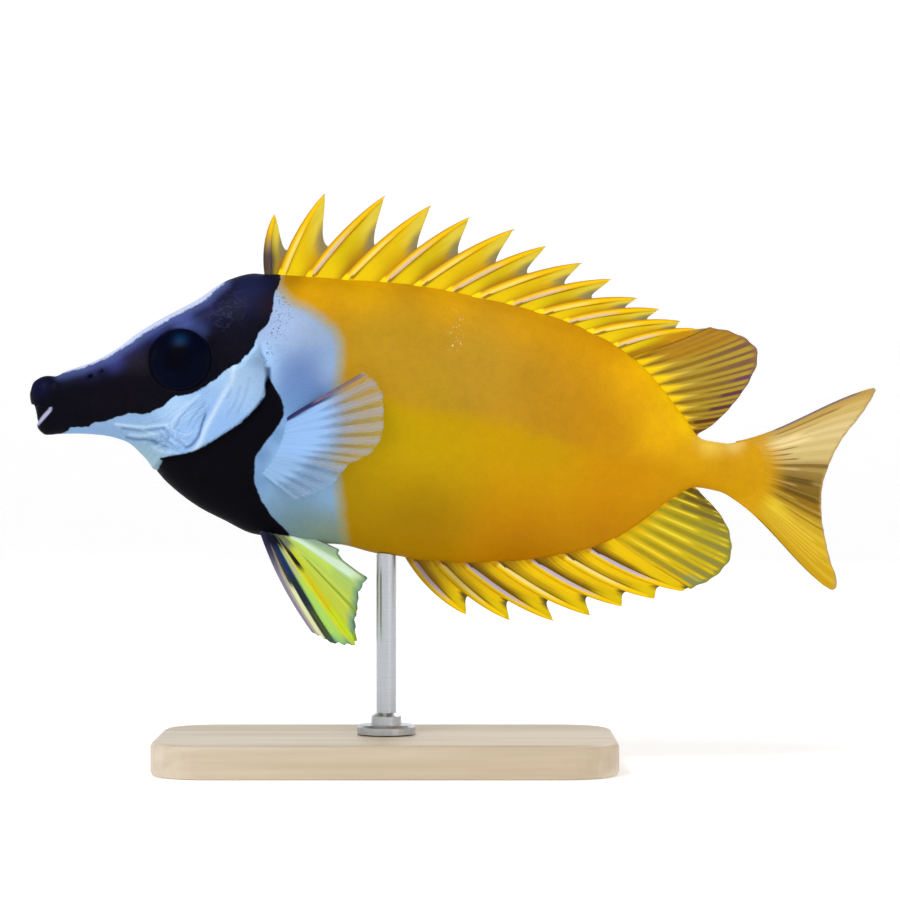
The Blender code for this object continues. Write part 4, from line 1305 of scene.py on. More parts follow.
        # The nostrils' pits, which the finish fills with painted shade.
        pit = np.zeros_like(x)
        for nx, nz, radius in self.nostrils:
            reach = np.hypot(x - nx, z - nz) / radius
            rim = self.nostril_rim * hump(reach, 1.35, 0.4)
            height = height + (rim - self.nostril_depth * fade(reach, 0.3, 1.1)) * flank
            pit = np.maximum(pit, fade(reach, 0.55, 1.0) * (flank > 0.5))
        height = height + self._fin_sheath(x, y, z) + self._lateral_line(x, z) * flank
        outside_mask = -inside_mm(x, z, self.mask_mm)
        speckled = hump(outside_mask, 2.5, 2.6) * (x > 0.0545) * (z > 0.006)
        scuff = sum(
            share * hump(np.hypot(x - sx, z - sz) / MM, 0.0, reach)
            for sx, sz, reach, share in self.scuffs
        )
        # Where the fine wrinkle lines lie: the finish paints them as shade on the cheek and as sheen on
        # the nape, besides their bump.
        (cx, cz), (nx, nz) = self.crinkled_at, self.nape_at
        crinkled = fade(np.hypot((x - cx) / 1.5, z - cz), 0.0022, 0.0052) * 0.45
        nape = fade(np.hypot(x - nx, z - nz), 0.0022, 0.0075) * 0.34
        return height, {
            "cheek": cheek * flank, "fold": fold, "crease": crease * flank,
            "lip_line": lip_line, "pit": pit, "speckled": speckled, "scuff": scuff,
            "crinkled": crinkled * cheek * flank, "nape": nape * flank,
        }

    def _gill_cover(self, x: Array, z: Array) -> Array:
        """The raised gill cover, with a sharp step down behind its edge.

        Args:
            x: How far back the points lie.
            z: How high they lie.

        Returns:
            Its relief in metres.
        """
        edge = smooth_path(self.gill_edge, 80)
        away = away_from(x, z, edge)
        ahead = x < np.interp(z, edge[::-1, 1], edge[::-1, 0])
        low = fade(z, 0.0080, 0.0160)
        rise = self.gill_raise * np.exp(-((away / self.gill_reach) ** 2))
        lip = self.gill_lip * hump(away, 0.0006, 0.0005)
        drop = self.gill_drop * np.exp(-away / 0.0009)
        return low * np.where(ahead, rise + lip, -drop)

    def _cheek(self, x: Array, z: Array) -> tuple[Array, Array]:
        """Where the pale cheek lies, and the phase of its fine radiating folds.

        Args:
            x: How far back the points lie.
            z: How high they lie.

        Returns:
            Both numbers for each point.
        """
        edge = smooth_path(self.gill_edge, 80)
        below_mask = 1 - fade(-inside_mm(x, z, self.mask_mm), 0.3, 1.6)
        on_cover = x < np.interp(z, edge[::-1, 1], edge[::-1, 0])
        behind = 1 - fade(x, 0.0250, 0.0290)
        hx, hz = self.cheek_hinge
        angle = np.degrees(np.arctan2(hz - z, hx - x))
        distance = np.hypot(x - hx, z - hz)
        fold = angle / 2.4 + 0.30 * np.sin(distance / 0.0016)
        return below_mask * on_cover * behind, fold

    def _wrinkles(self, x: Array, z: Array) -> tuple[Array, Array]:
        """Relief of all folds of the head, and how ridged each place is, from -1 to 1, which sets their
        painted highlight and shade.

        Args:
            x: How far back the points lie.
            z: How high they lie.

        Returns:
            Both numbers for each point.
        """
        near = (x < 0.062).ravel()
        flat_x, flat_z = x.ravel()[near], z.ravel()[near]
        pale = sum(fold.rise(flat_x, flat_z) for fold in self.folds)
        nape = sum(fold.rise(flat_x, flat_z) for fold in self.nape_folds)
        relief, ridged = np.zeros(x.size), np.zeros(x.size)
        relief[near] = pale + nape
        ridged[near] = np.clip(pale / (0.20 * MM), -1, 1)
        return relief.reshape(x.shape), ridged.reshape(x.shape)

    def _orbit(self, x: Array, z: Array) -> Array:
        """The socket under the eyeball, the rim of skin round it and a fold outside.

        Args:
            x: How far back the points lie.
            z: How high they lie.

        Returns:
            Its relief in metres.
        """
        eye_x, _, eye_z = self.as_seen(np.array([self.eye.x, self.eye.out, self.eye.z]))
        reach = np.hypot(x - eye_x, z - eye_z) / MM
        above = 0.75 + 0.25 * (z - eye_z) / MM / np.maximum(reach, 0.1)
        socket = -self.socket_depth * fade(reach, 6.4, 7.6)
        rim = self.socket_rim * hump(reach, 8.05, 0.55) * above
        dip = -self.socket_fold * hump(reach, 9.3, 0.6)
        fold = self.socket_fold * hump(reach, 10.3, 0.6) * above
        return socket + rim + dip + fold

    def _gape(self, x: Array, z: Array) -> tuple[Array, Array]:
        """How deep the mouth is open, and the pale inner edge of the lower lip.

        Args:
            x: How far back the points lie.
            z: How high they lie.

        Returns:
            Both numbers for each point.
        """
        wedge = np.array((self.mouth_corner, self.mouth_upper, self.mouth_lower)) / MM
        depth = inside_mm(x, z, wedge)
        open_ = self.mouth_depth * (1 - fade(depth, -0.05, 0.28))
        (cx, cz), (lx, lz) = self.mouth_corner, self.mouth_lower
        edge = away_from(x, z, np.array([(cx, cz), (lx, lz)])) / MM
        line = fade(edge, 0.32, 0.60) * (1 - fade(x, 0.0018, 0.0026)) * fade(x, 0.0052, 0.0060)
        return open_, line

    def _lips(self, x: Array, z: Array) -> Array:
        """The swollen lips and the groove behind them.

        Args:
            x: How far back the points lie.
            z: How high they lie.

        Returns:
            Their relief in metres.
        """
        above = 1 - fade(z, self.mouth_corner[1] - 0.0012, self.mouth_corner[1] + 0.0012)
        groove = -self.lip_groove * hump(x, self.lip_groove_x + 0.0004 * (1 - above), 0.0009)
        swell = self.lip_swell * hump(x, 0.0030, 0.0018)
        return groove * (0.35 + 0.65 * above) + swell

    def _fin_sheath(self, x: Array, y: Array, z: Array) -> Array:
        """The low scaly sheath that the middle fins stand in.

        Args:
            x: How far back the points lie.
            y: How far to the side they lie.
            z: How high they lie.

        Returns:
            Its relief in metres.
        """
        middle, _, _ = self.form.section(x)
        near = np.exp(-((y / 0.0016) ** 2))
        back = (z > middle) * (1 - fade(x, 0.0520, 0.0560)) * fade(x, 0.1560, 0.1600)
        belly = (z < middle) * (1 - fade(x, 0.0930, 0.0980)) * fade(x, 0.1560, 0.1600)
        return self.sheath_height * near * (back + belly)

    def _lateral_line(self, x: Array, z: Array) -> Array:
        """The faint line of pores that follows the back.

        Args:
            x: How far back the points lie.
            z: How high they lie.

        Returns:
            Its relief in metres.
        """
        middle, half_height, _ = self.form.section(x)
        level = middle + half_height * (0.60 - 0.35 * fade(-x, -0.1500, -0.1000))
        along = (1 - fade(x, 0.0580, 0.0640)) * fade(x, 0.1500, 0.1640)
        return self.pore_height * hump(z - level, 0.0, 0.0005) * along

    def as_seen(self, points: Array) -> Array:
        """Where the photo's camera sees points against the middle plane, alike on both sides.

        Args:
            points: The points.

        Returns:
            The points with their x and z moved.
        """
        nearer = self.view_distance / (self.view_distance - np.abs(points[..., 1]))
        seen = points.copy()
        for axis, middle in zip((0, 2), self.view_middle):
            seen[..., axis] = middle + (points[..., axis] - middle) * nearer
        return seen

    def level_orbits(self, points: Array) -> Array:
        """Brings the head level with the orbits.

        Args:
            points: The grid.

        Returns:
            The grid with its flanks moved.
        """
        x, y, z = points[..., 0], points[..., 1], points[..., 2]
        look = self.eye.look
        level = self.eye.out - (look.x * (x - self.eye.x) + look.z * (z - self.eye.z)) / abs(look.y)
        move = np.clip(level - np.abs(y), -0.0009, 0.0009)
        reach = np.hypot(x - self.eye.x, z - self.eye.z)
        moved = points.copy()
        moved[..., 1] = y + np.sign(y) * move * fade(reach, 0.0090, 0.0160)
        return moved

    def build(self) -> None:
        """Builds, marks and dresses the skin."""
        plain = self.grid()
        base = self.level_orbits(plain)
        seen = self.as_seen(plain)
        height, marks = self.relief(seen)
        x, z = seen[..., 0], seen[..., 2]
        for name in ("mask", "blaze", "lower", "breast", "shoulder"):
            marks[name] = inside_mm(x, z, getattr(self, f"{name}_mm"))
        marks["blaze"] = np.where(x < self.blaze_end, marks["blaze"], -5.0)
        draft = Draft()
        numbers = draft.add(base + self.outward(base) * height[..., None], marks)
        draft.skin_over(numbers, around=True)
        draft.faces += [tuple(numbers[0].tolist()), tuple(numbers[-1].tolist()[::-1])]
        piece = draft.make("fish_skin")
        places = np.stack([x, z], axis=-1).reshape(-1, 2) / MM
        for name in ("ochre", "gold", "pale", "dark"):
            paint(piece, name, places, getattr(self, name), getattr(self, f"{name}_touches"))
        settle(piece, self.finish, Slot.BODY, "head", "torso", "tail")


@dataclass(frozen=True)
class EyeFinish:
    """A dark, wet eye with a faint blue glow high in the iris."""

    surface: Surface = Surface(roughness=0.34, coat=0.01, coat_roughness=0.2, specular=0.02)
    pupil: Colour = (1, 2, 13)
    iris: Colour = (2, 5, 25)
    glow: Colour = (4, 50, 98)
    rim: Colour = (12, 12, 30)

    def material(self) -> Material:
        """Builds the eye's material.

        Returns:
            The material.
        """
        material, graph, shader = self.surface.start("wet_eye")
        reach = graph.mark("reach")
        iris = graph.blend(graph.mark("glow"), self.iris, self.glow)
        iris = graph.paint(iris, self.pupil, graph.noise(graph.grid(), 2600.0, 3.0), 0.5)
        colour = graph.blend(graph.step(reach, 0.30, 0.56), self.pupil, iris)
        colour = graph.blend(graph.step(reach, 0.84, 0.93), colour, self.rim)
        graph.feed(shader.inputs["Base Color"], colour)
        return material


@dataclass
class Eye:
    """One eyeball: a flattened ball with a low cornea over the iris."""

    place: EyePlace
    side: Side
    finish: EyeFinish = EyeFinish()
    rings: int = 40
    columns: int = 72
    cornea: float = 0.00035

    def build(self) -> None:
        """Builds and dresses the eyeball."""
        turn = turns(self.columns)
        down = np.linspace(0.02, 0.98, self.rings)[:, None] * math.pi
        radius = self.place.radius * np.sin(down)
        height = -self.place.sunk + self.place.depth * np.cos(down)
        height = height + self.cornea * fade(radius / MM, 2.0, 6.2) * (down < math.pi / 2)
        ball = np.stack([radius * np.cos(turn), radius * np.sin(turn), height + 0 * turn], axis=-1)
        matrix = np.array(self.place.matrix(self.side))
        points = ball @ matrix[:3, :3].T + matrix[:3, 3]
        up = (points[..., 2] - self.place.z) / MM
        ahead = (points[..., 0] - self.place.x) / MM
        draft = Draft()
        draft.tube(points, {
            "reach": radius / self.place.radius + (down > math.pi / 2),
            "glow": hump(up, 4.3, 1.6) * hump(ahead, -0.4, 1.6) * 0.9,
        })
        piece = draft.make(f"eyeball_{self.side.word}")
        settle(piece, self.finish, Slot.EYE, f"eye_{self.side.word}")


@dataclass(frozen=True)
class Bone:
    """A spine or soft ray in the side view: a bent line from its root to its tip."""

    base: Array
    control: Array
    tip: Array

    @classmethod
    def between(cls, base: Array, tip: Array, bow: float) -> "Bone":
        """A bone that bows sideways off its chord.

        Args:
            base: Its root.
            tip: Its tip.
            bow: How far its middle point is pulled off the chord.

        Returns:
            The bone.
        """
        chord = tip - base
        across = np.array([-chord[1], chord[0]]) / np.linalg.norm(chord)
        return cls(base, (base + tip) / 2 + bow * across, tip)

    def at(self, share: Array) -> Array:
        """Points along the bone, share 0 at the root and 1 at the tip."""
        s = np.asarray(share, float)[..., None]
        return (1 - s) ** 2 * self.base + 2 * s * (1 - s) * self.control + s**2 * self.tip


def hung(left: Array, right: Array, across: Array, sag: Array) -> Array:
    """Points of a web between two lines, drawn by its sag towards its root."""
    spot = (1 - across)[..., None] * left + across[..., None] * right
    return spot + sag[..., None] * (spot[:1] - spot)


def on_middle_plane(x: Array, z: Array, off: Array) -> Array:
    """Places points of a fin on the fish's middle plane.

    Args:
        x: Their x in the side view.
        z: Their z.
        off: How far off the fin's own middle they are.

    Returns:
        The points.
    """
    return np.stack(np.broadcast_arrays(x, off, z), axis=-1)


@dataclass(frozen=True)
class BesideBody:
    """Places a paired fin: it leaves its root line at a slant and curls back."""

    side: Side
    root: tuple[Place, Place]
    toward: Place
    starts: Place
    splay: float
    curl: float
    ripple: float = 0.0

    def __call__(self, x: Array, z: Array, off: Array) -> Array:
        """Places points of the fin.

        Args:
            x: Their x in the side view.
            z: Their z.
            off: How far off the fin's own middle they are, away from the body.

        Returns:
            The points.
        """
        hinge, end = np.array(self.root[0]), np.array(self.root[1])
        length = np.linalg.norm(end - hinge)
        along = (end - hinge) / length
        away_way = np.array([-along[1], along[0]])
        if away_way @ (np.array(self.toward) - hinge) < 0:
            away_way = -away_way
        reach = np.stack(np.broadcast_arrays(x, z), axis=-1) - hinge
        away = np.maximum(reach @ away_way, 0.0)
        down = reach @ along
        tilt = (self.starts[1] - self.starts[0]) / length
        out = self.starts[0] + tilt * down + self.splay * away - self.curl * away * away
        out = out + self.ripple * np.sin(down / 0.0021) * np.clip(away / 0.012, 0, 1) ** 2
        return np.stack(np.broadcast_arrays(x, self.side.value * (out + off), z), axis=-1)


@dataclass
class FanFin:
    """A fin whose soft rays fan out evenly from a root line to a smooth outline."""

    root: Line
    places: Place
    tips: tuple[Place, ...]
    rays: int
    placed: Sheeted = on_middle_plane
    bows: Place = (0.0, 0.0)
    halves: Place = (0.00042, 0.00012)
    ray_radii: Place = (0.00036, 0.00011)
    fork_starts: tuple[float, ...] = (0.45,)
    fork_spread: float = 0.20
    scallop: float = 0.012
    steps_between: int = 6
    steps_along: int = 44
    ray_start: float = 0.02
    ray_end: float = 0.985
    ray_steps: int = 16
    ray_sides: int = 6
    lean: float = 0.0
    corrugation: float = 0.45
    flesh: Optional[tuple[float, float, float]] = None

    def __post_init__(self) -> None:
        """Reads the outline that the rays' tips lie on."""
        self.edge = Line(smooth_path(self.tips, 8 * self.rays))

    def spot(self, at: Array, along: Array) -> Array:
        """Side-view points of the fin.

        Args:
            at: Where across the fin, counted in rays.
            along: The share of the way from root to edge.

        Returns:
            The points.
        """
        share = np.clip(np.asarray(at, float) / (self.rays - 1), 0, 1)
        base = self.root.at(self.places[0] + (self.places[1] - self.places[0]) * share)
        tip = self.edge.at(share * self.edge.length)
        chord = tip - base
        across = np.stack([-chord[..., 1], chord[..., 0]], axis=-1)
        across = across / np.linalg.norm(across, axis=-1)[..., None]
        bow = (self.bows[0] + (self.bows[1] - self.bows[0]) * share)[..., None]
        s = np.asarray(along, float)[..., None]
        off = 2 * s * (1 - s) * (1 + self.lean * (1 - 2 * s))
        return base + s * chord + off * bow * across

    def from_root(self, spot: Array, along: Array) -> Array:
        """How far out of the flesh places lie, from 0 to 1 or more.

        Args:
            spot: The side-view points.
            along: Their shares of the way from root to edge.

        Returns:
            The values.
        """
        if self.flesh is None:
            return along
        start, bow, half = self.flesh
        ends = start + bow * np.clip(1 - (spot[..., 1] / half) ** 2, 0, 1)
        return np.maximum((spot[..., 0] - ends) / 0.020, 0.0)

    def sheet(self, draft: Draft) -> None:
        """Adds the membrane.

        Args:
            draft: Where it goes.
        """
        at = np.linspace(0, self.rays - 1, (self.rays - 1) * self.steps_between + 1)[None, :]
        rows = np.linspace(0, 1, self.steps_along)[:, None]
        along = rows * (1 - self.scallop * np.sin(math.pi * at) ** 2)
        spot = self.spot(at + 0 * rows, along)
        half = self.halves[0] + (self.halves[1] - self.halves[0]) * rows**0.7
        half = half * (1 - self.corrugation * np.sin(math.pi * at) ** 2)
        draft.sheet(spot, half, self.placed, {
            "ray_at": at, "along": along, "bone": 0.0, "from_root": self.from_root(spot, along),
        })

    def ray(self, draft: Draft, ends: Place, reach: Place, radii: Place) -> None:
        """Adds one ray or branch of a ray.

        Args:
            draft: Where it goes.
            ends: Its places across the fin at its two ends, counted in rays.
            reach: The shares of the way from root to edge at its two ends.
            radii: Its radii there.
        """
        along = np.linspace(*reach, self.ray_steps)
        at = ends[0] + (ends[1] - ends[0]) * (1 - fade(along, *reach))
        centre = self.spot(at, along)
        radius = np.linspace(*radii, self.ray_steps)[:, None]
        draft.rod(centre, radius, radius, turns(self.ray_sides), self.placed, {
            "ray_at": at[:, None], "along": along[:, None], "bone": 1.0,
            "from_root": self.from_root(centre, along)[:, None],
        })

    def ribs(self, draft: Draft) -> None:
        """Adds every ray, forked towards the edge.

        Args:
            draft: Where they go.
        """
        thick, thin = self.ray_radii
        for k in range(self.rays):
            stops = (*(self.fork_starts if 0 < k < self.rays - 1 else ()), self.ray_end)
            end = thin if len(stops) == 1 else thick * 0.55
            self.ray(draft, (k, k), (self.ray_start, stops[0]), (thick, end))
            twigs = [float(k)]
            for level, reach in enumerate(zip(stops[:-1], stops[1:])):
                spread = self.fork_spread / (2.2**level)
                radii = (thick * 0.5 * 0.8**level, max(thin, thick * 0.4 * 0.8**level))
                forks = [(at, at + way * spread) for at in twigs for way in (-1, 1)]
                for ends in forks:
                    self.ray(draft, ends, reach, radii)
                twigs = [end for _, end in forks]

    def build(self, name: str) -> Piece:
        """Builds the bare fin.

        Args:
            name: The piece's name.

        Returns:
            The piece.
        """
        draft = Draft()
        self.sheet(draft)
        self.ribs(draft)
        return draft.make(name)


@dataclass
class SpinyFin:
    """A fin of stiff spines, each with a web that runs from its tip down to the next spine."""

    form: BodyForm
    below: bool
    roots_x: tuple[float, ...]
    lengths: tuple[float, ...]
    leans: tuple[float, ...]
    bow: float
    radii: Place
    notches: Place
    closing: Bone
    dips: tuple[float, ...]
    sunk: float = 0.0012
    halves: Place = (0.00052, 0.00014)
    sway: float = 0.00022
    steps_between: int = 12
    steps_along: int = 34

    def bones(self) -> list[Bone]:
        """The spines, and the first soft ray that closes the last web.

        Returns:
            The bones, from front to rear.
        """
        root = self.form.edge_line(self.below, -0.0003)
        made = []
        for x, length, lean in zip(self.roots_x, self.lengths, self.leans):
            base = root.at(root.distance_to_x(x))
            angle = math.radians(-lean if self.below else lean)
            tip = base + length * np.array([math.cos(angle), math.sin(angle)])
            made.append(Bone.between(base, tip, -self.bow if self.below else self.bow))
        return [*made, self.closing]

    def width(self, share: Array, radius: float) -> Array:
        """Radius of a spine along its length.

        Args:
            share: Places along it, 0 at the root.
            radius: Its radius at the root.

        Returns:
            The radii.
        """
        return radius * (1 - np.clip(share, 0, 1) ** 2) ** 0.62 + 0.00007

    def web(
        self, draft: Draft, k: int, ends: tuple[Bone, Bone], notch: float, radii: Place
    ) -> None:
        """Adds the web behind one spine.

        Args:
            draft: Where it goes.
            k: The spine's number.
            ends: The spines ahead of the web and behind it.
            notch: The share of the rear spine that the web covers.
            radii: Radii of the two spines at their roots.
        """
        across = np.linspace(0, 1, self.steps_between)[None, :]
        rows = np.linspace(0, 1, self.steps_along)[:, None]
        left, right = ends[0].at(rows * 0.985), ends[1].at(rows * notch)
        sag = 6.75 * across**2 * (1 - across) * self.dips[k] * rows**2
        spot = hung(left, right, across, sag)
        spot[..., 1] -= (-1 if self.below else 1) * self.sunk * (1 - rows) ** 6
        half = self.halves[0] + (self.halves[1] - self.halves[0]) * rows**0.6
        crease = 1 + 0.9 * np.exp(-across / 0.10) + 0.6 * np.exp(-(1 - across) / 0.08)
        half = half * np.minimum(crease, 1.9) * (1 - 0.45 * rows)
        sway = self.sway * (1 - 2 * (k % 2)) * np.cos(math.pi * across) * (1 - 0.5 * rows)
        behind = np.linalg.norm(spot - left, axis=-1) - self.width(rows, radii[0])
        ahead = np.linalg.norm(spot - right, axis=-1) - self.width(rows * notch, radii[1])
        draft.sheet(spot, half, on_middle_plane, {
            "ray_at": k + across, "along": rows,
            "edge_mm": np.linalg.norm(spot - spot[-1:], axis=-1) / MM,
            "gap_mm": np.maximum(behind, 0) / MM, "next_mm": np.maximum(ahead, 0) / MM,
        }, sway)

    def spine(self, draft: Draft, k: int, bone: Bone, radius: float) -> None:
        """Adds one spine, a little off the middle to its own side.

        Args:
            draft: Where it goes.
            k: The spine's number.
            bone: Its line.
            radius: Its radius at the root.
        """
        along = np.linspace(-0.06, 1, 34)
        share = np.clip(along, 0, 1)[:, None]
        wide = self.width(share, radius)
        turn = turns(14)
        thick = wide * (1 - 0.16 * hump(np.abs(np.sin(turn)), 1.0, 0.25))
        sway = self.sway * (1 - 2 * (k % 2)) * (1 - share)
        draft.rod(bone.at(along), wide * 1.05, thick, turn, on_middle_plane, {
            "ray_at": float(k), "along": share, "bone": 1.0,
            "front": np.cos(turn) * (-1 if self.below else 1),
        }, sway)

    def build(self, name: str) -> Piece:
        """Builds the bare fin.

        Args:
            name: The piece's name.

        Returns:
            The piece.
        """
        draft = Draft()
        bones = self.bones()
        notches = [*np.linspace(*self.notches, len(self.lengths)), 0.97]
        thick = np.linspace(*self.radii, len(self.lengths))
        for k in range(len(self.lengths)):
            radii = float(thick[k]), float(thick[min(k + 1, len(thick) - 1)])
            self.web(draft, k, (bones[k], bones[k + 1]), notches[k + 1], radii)
            self.spine(draft, k, bones[k], radii[0])
        return draft.make(name)


@dataclass(frozen=True)
class SpinyFinish:
    """Spines and webs of a spiny fin, alternately darker and brighter, with painted shade in the webs'
    creases and folds and a painted highlight streak on each spine.
    """

    name: str
    # The darker ends of the web ramp are painted shadow in the folds beside the spines.
    web: tuple[tuple[float, Colour], ...]
    # Painted shade in the crease behind each spine.
    crease: Colour
    crease_shade_mm: float
    # low, notch and first are painted shadow on the anal fin and the fin's own colours on the back fin.
    low: Colour
    low_end: float
    tip: Colour
    tip_mm: float
    notch: Colour
    notch_mm: float
    # Painted highlight streaks on the spines.
    streaks: tuple[Colour, Colour]
    highlight_streak_reach: Place
    spine: Colour
    spine_front: Colour
    sheath: Colour
    first: Colour
    first_share: float
    first_end: float
    last: Colour
    last_at: float
    stirred: float = 0.40
    bright_share: float = 0.35
    surface: Surface = Surface(roughness=0.44, coat=0.03, coat_roughness=0.2, specular=0.06)

    def material(self) -> Material:
        """Builds the fin's material.

        Returns:
            The material.
        """
        material, graph, shader = self.surface.start(self.name)
        at, along = graph.mark("ray_at"), graph.mark("along")
        parity = graph.maths("MODULO", graph.maths("FLOOR", at), 2.0)
        lines = graph.group(EFFECTS.streaks, Across=at, Along=along, Fineness=13.0, Length=1.8)
        stir = graph.maths("SUBTRACT", lines.outputs["Streak"], 0.5)
        colour = self._web(graph, along, parity, stir)
        spine = self._spine(graph, along, parity, stir)
        colour = graph.blend(graph.mark("bone"), colour, spine)
        base = graph.step(graph.plus(stir, 0.08, along), 0.075, 0.03)
        colour = graph.paint(colour, self.sheath, base, 0.85)
        # The first webs' roots: the mask's own dark on the back fin, painted shadow on the anal fin.
        first = graph.step(at, self.first_end, 0.2)
        colour = graph.paint(
            colour, self.first, first, graph.step(along, 0.85, 0.25), self.first_share
        )
        last = graph.step(at, self.last_at, self.last_at + 0.25)
        outer = graph.step(graph.plus(stir, 0.3, along), 0.40, 0.65)
        colour = graph.paint(colour, self.last, last, outer, graph.step(along, 1.0, 0.82))
        toned = graph.scaled("SCALE", colour, graph.plus(stir, 0.30, 1.0))
        graph.feed(shader.inputs["Base Color"], toned)
        raise_bump(graph, shader, lines.outputs["Height"], 0.00010, 0.6)
        return material

    def _web(self, graph: Graph, along: object, parity: object, stir: object) -> Socket:
        """The webs: painted shade in the crease behind each spine, then brighter towards the next.

        Args:
            graph: The material's graph.
            along: How far up the fin a point lies.
            parity: A number that tells every other spine from the rest.
            stir: Noise round 0.

        Returns:
            Their colour.
        """
        gap, ahead = graph.mark("gap_mm"), graph.mark("next_mm")
        place = graph.maths("DIVIDE", gap, graph.maths("ADD", graph.maths("ADD", gap, ahead), 0.01))
        # The web ramp's darker ends are painted shadow in the folds beside the spines.
        colour = graph.ramp(graph.plus(stir, self.stirred, place, clamp=True), self.web)
        colour = graph.paint(colour, self.spine, parity, self.bright_share)
        # The web roots: the back fin's own bright yellow, painted shadow on the anal fin.
        low = graph.step(graph.plus(stir, 0.2, along), self.low_end, 0.0)
        colour = graph.paint(colour, self.low, low, graph.step(place, 1.0, 0.5), 0.9)
        edge = graph.plus(stir, -4.0, graph.mark("edge_mm"))
        tip = graph.step(edge, self.tip_mm, self.tip_mm * 0.3)
        colour = graph.paint(colour, self.tip, tip, graph.step(place, 0.85, 0.35), 0.9)
        # The notches: the back fin's own grey membrane, painted shadow on the anal fin.
        notch = graph.step(edge, self.notch_mm, self.notch_mm * 0.2)
        colour = graph.paint(colour, self.notch, notch, graph.step(place, 0.35, 0.75), 0.9)
        # Painted shade in the crease just behind each spine.
        crease = graph.step(gap, self.crease_shade_mm, 0.05)
        return graph.paint(colour, self.crease, crease, graph.step(along, 0.95, 0.60), 0.9)

    def _spine(self, graph: Graph, along: object, parity: object, stir: object) -> Socket:
        """The spines: a darker front edge, and a pale painted highlight streak on the rear half lower
        down.

        Args:
            graph: The material's graph.
            along: How far up the fin a point lies.
            parity: A number that tells every other spine from the rest.
            stir: Noise round 0.

        Returns:
            Their colour.
        """
        front = graph.mark("front")
        colour = graph.paint(self.spine, self.spine_front, graph.step(front, 0.15, 0.85), 0.85)
        rear = graph.times(graph.step(front, 0.15, -0.2), graph.step(front, -1.0, -0.7))
        # A painted highlight streak on the spine's rear half, lower down.
        low, high = self.highlight_streak_reach
        reach = graph.times(
            graph.step(along, low - 0.05, low + 0.03),
            graph.step(graph.plus(stir, 0.3, along), high, high - 0.3),
        )
        return graph.paint(colour, graph.blend(parity, *self.streaks), reach, rear, 0.9)


@dataclass(frozen=True)
class Stripe:
    """A soft stripe of colour along a fin's rays, at a place counted in rays."""

    at: float
    width: float
    colour: Colour
    start: float = 0.0
    end: float = 1.2
    share: float = 1.0
    fade: float = 0.12


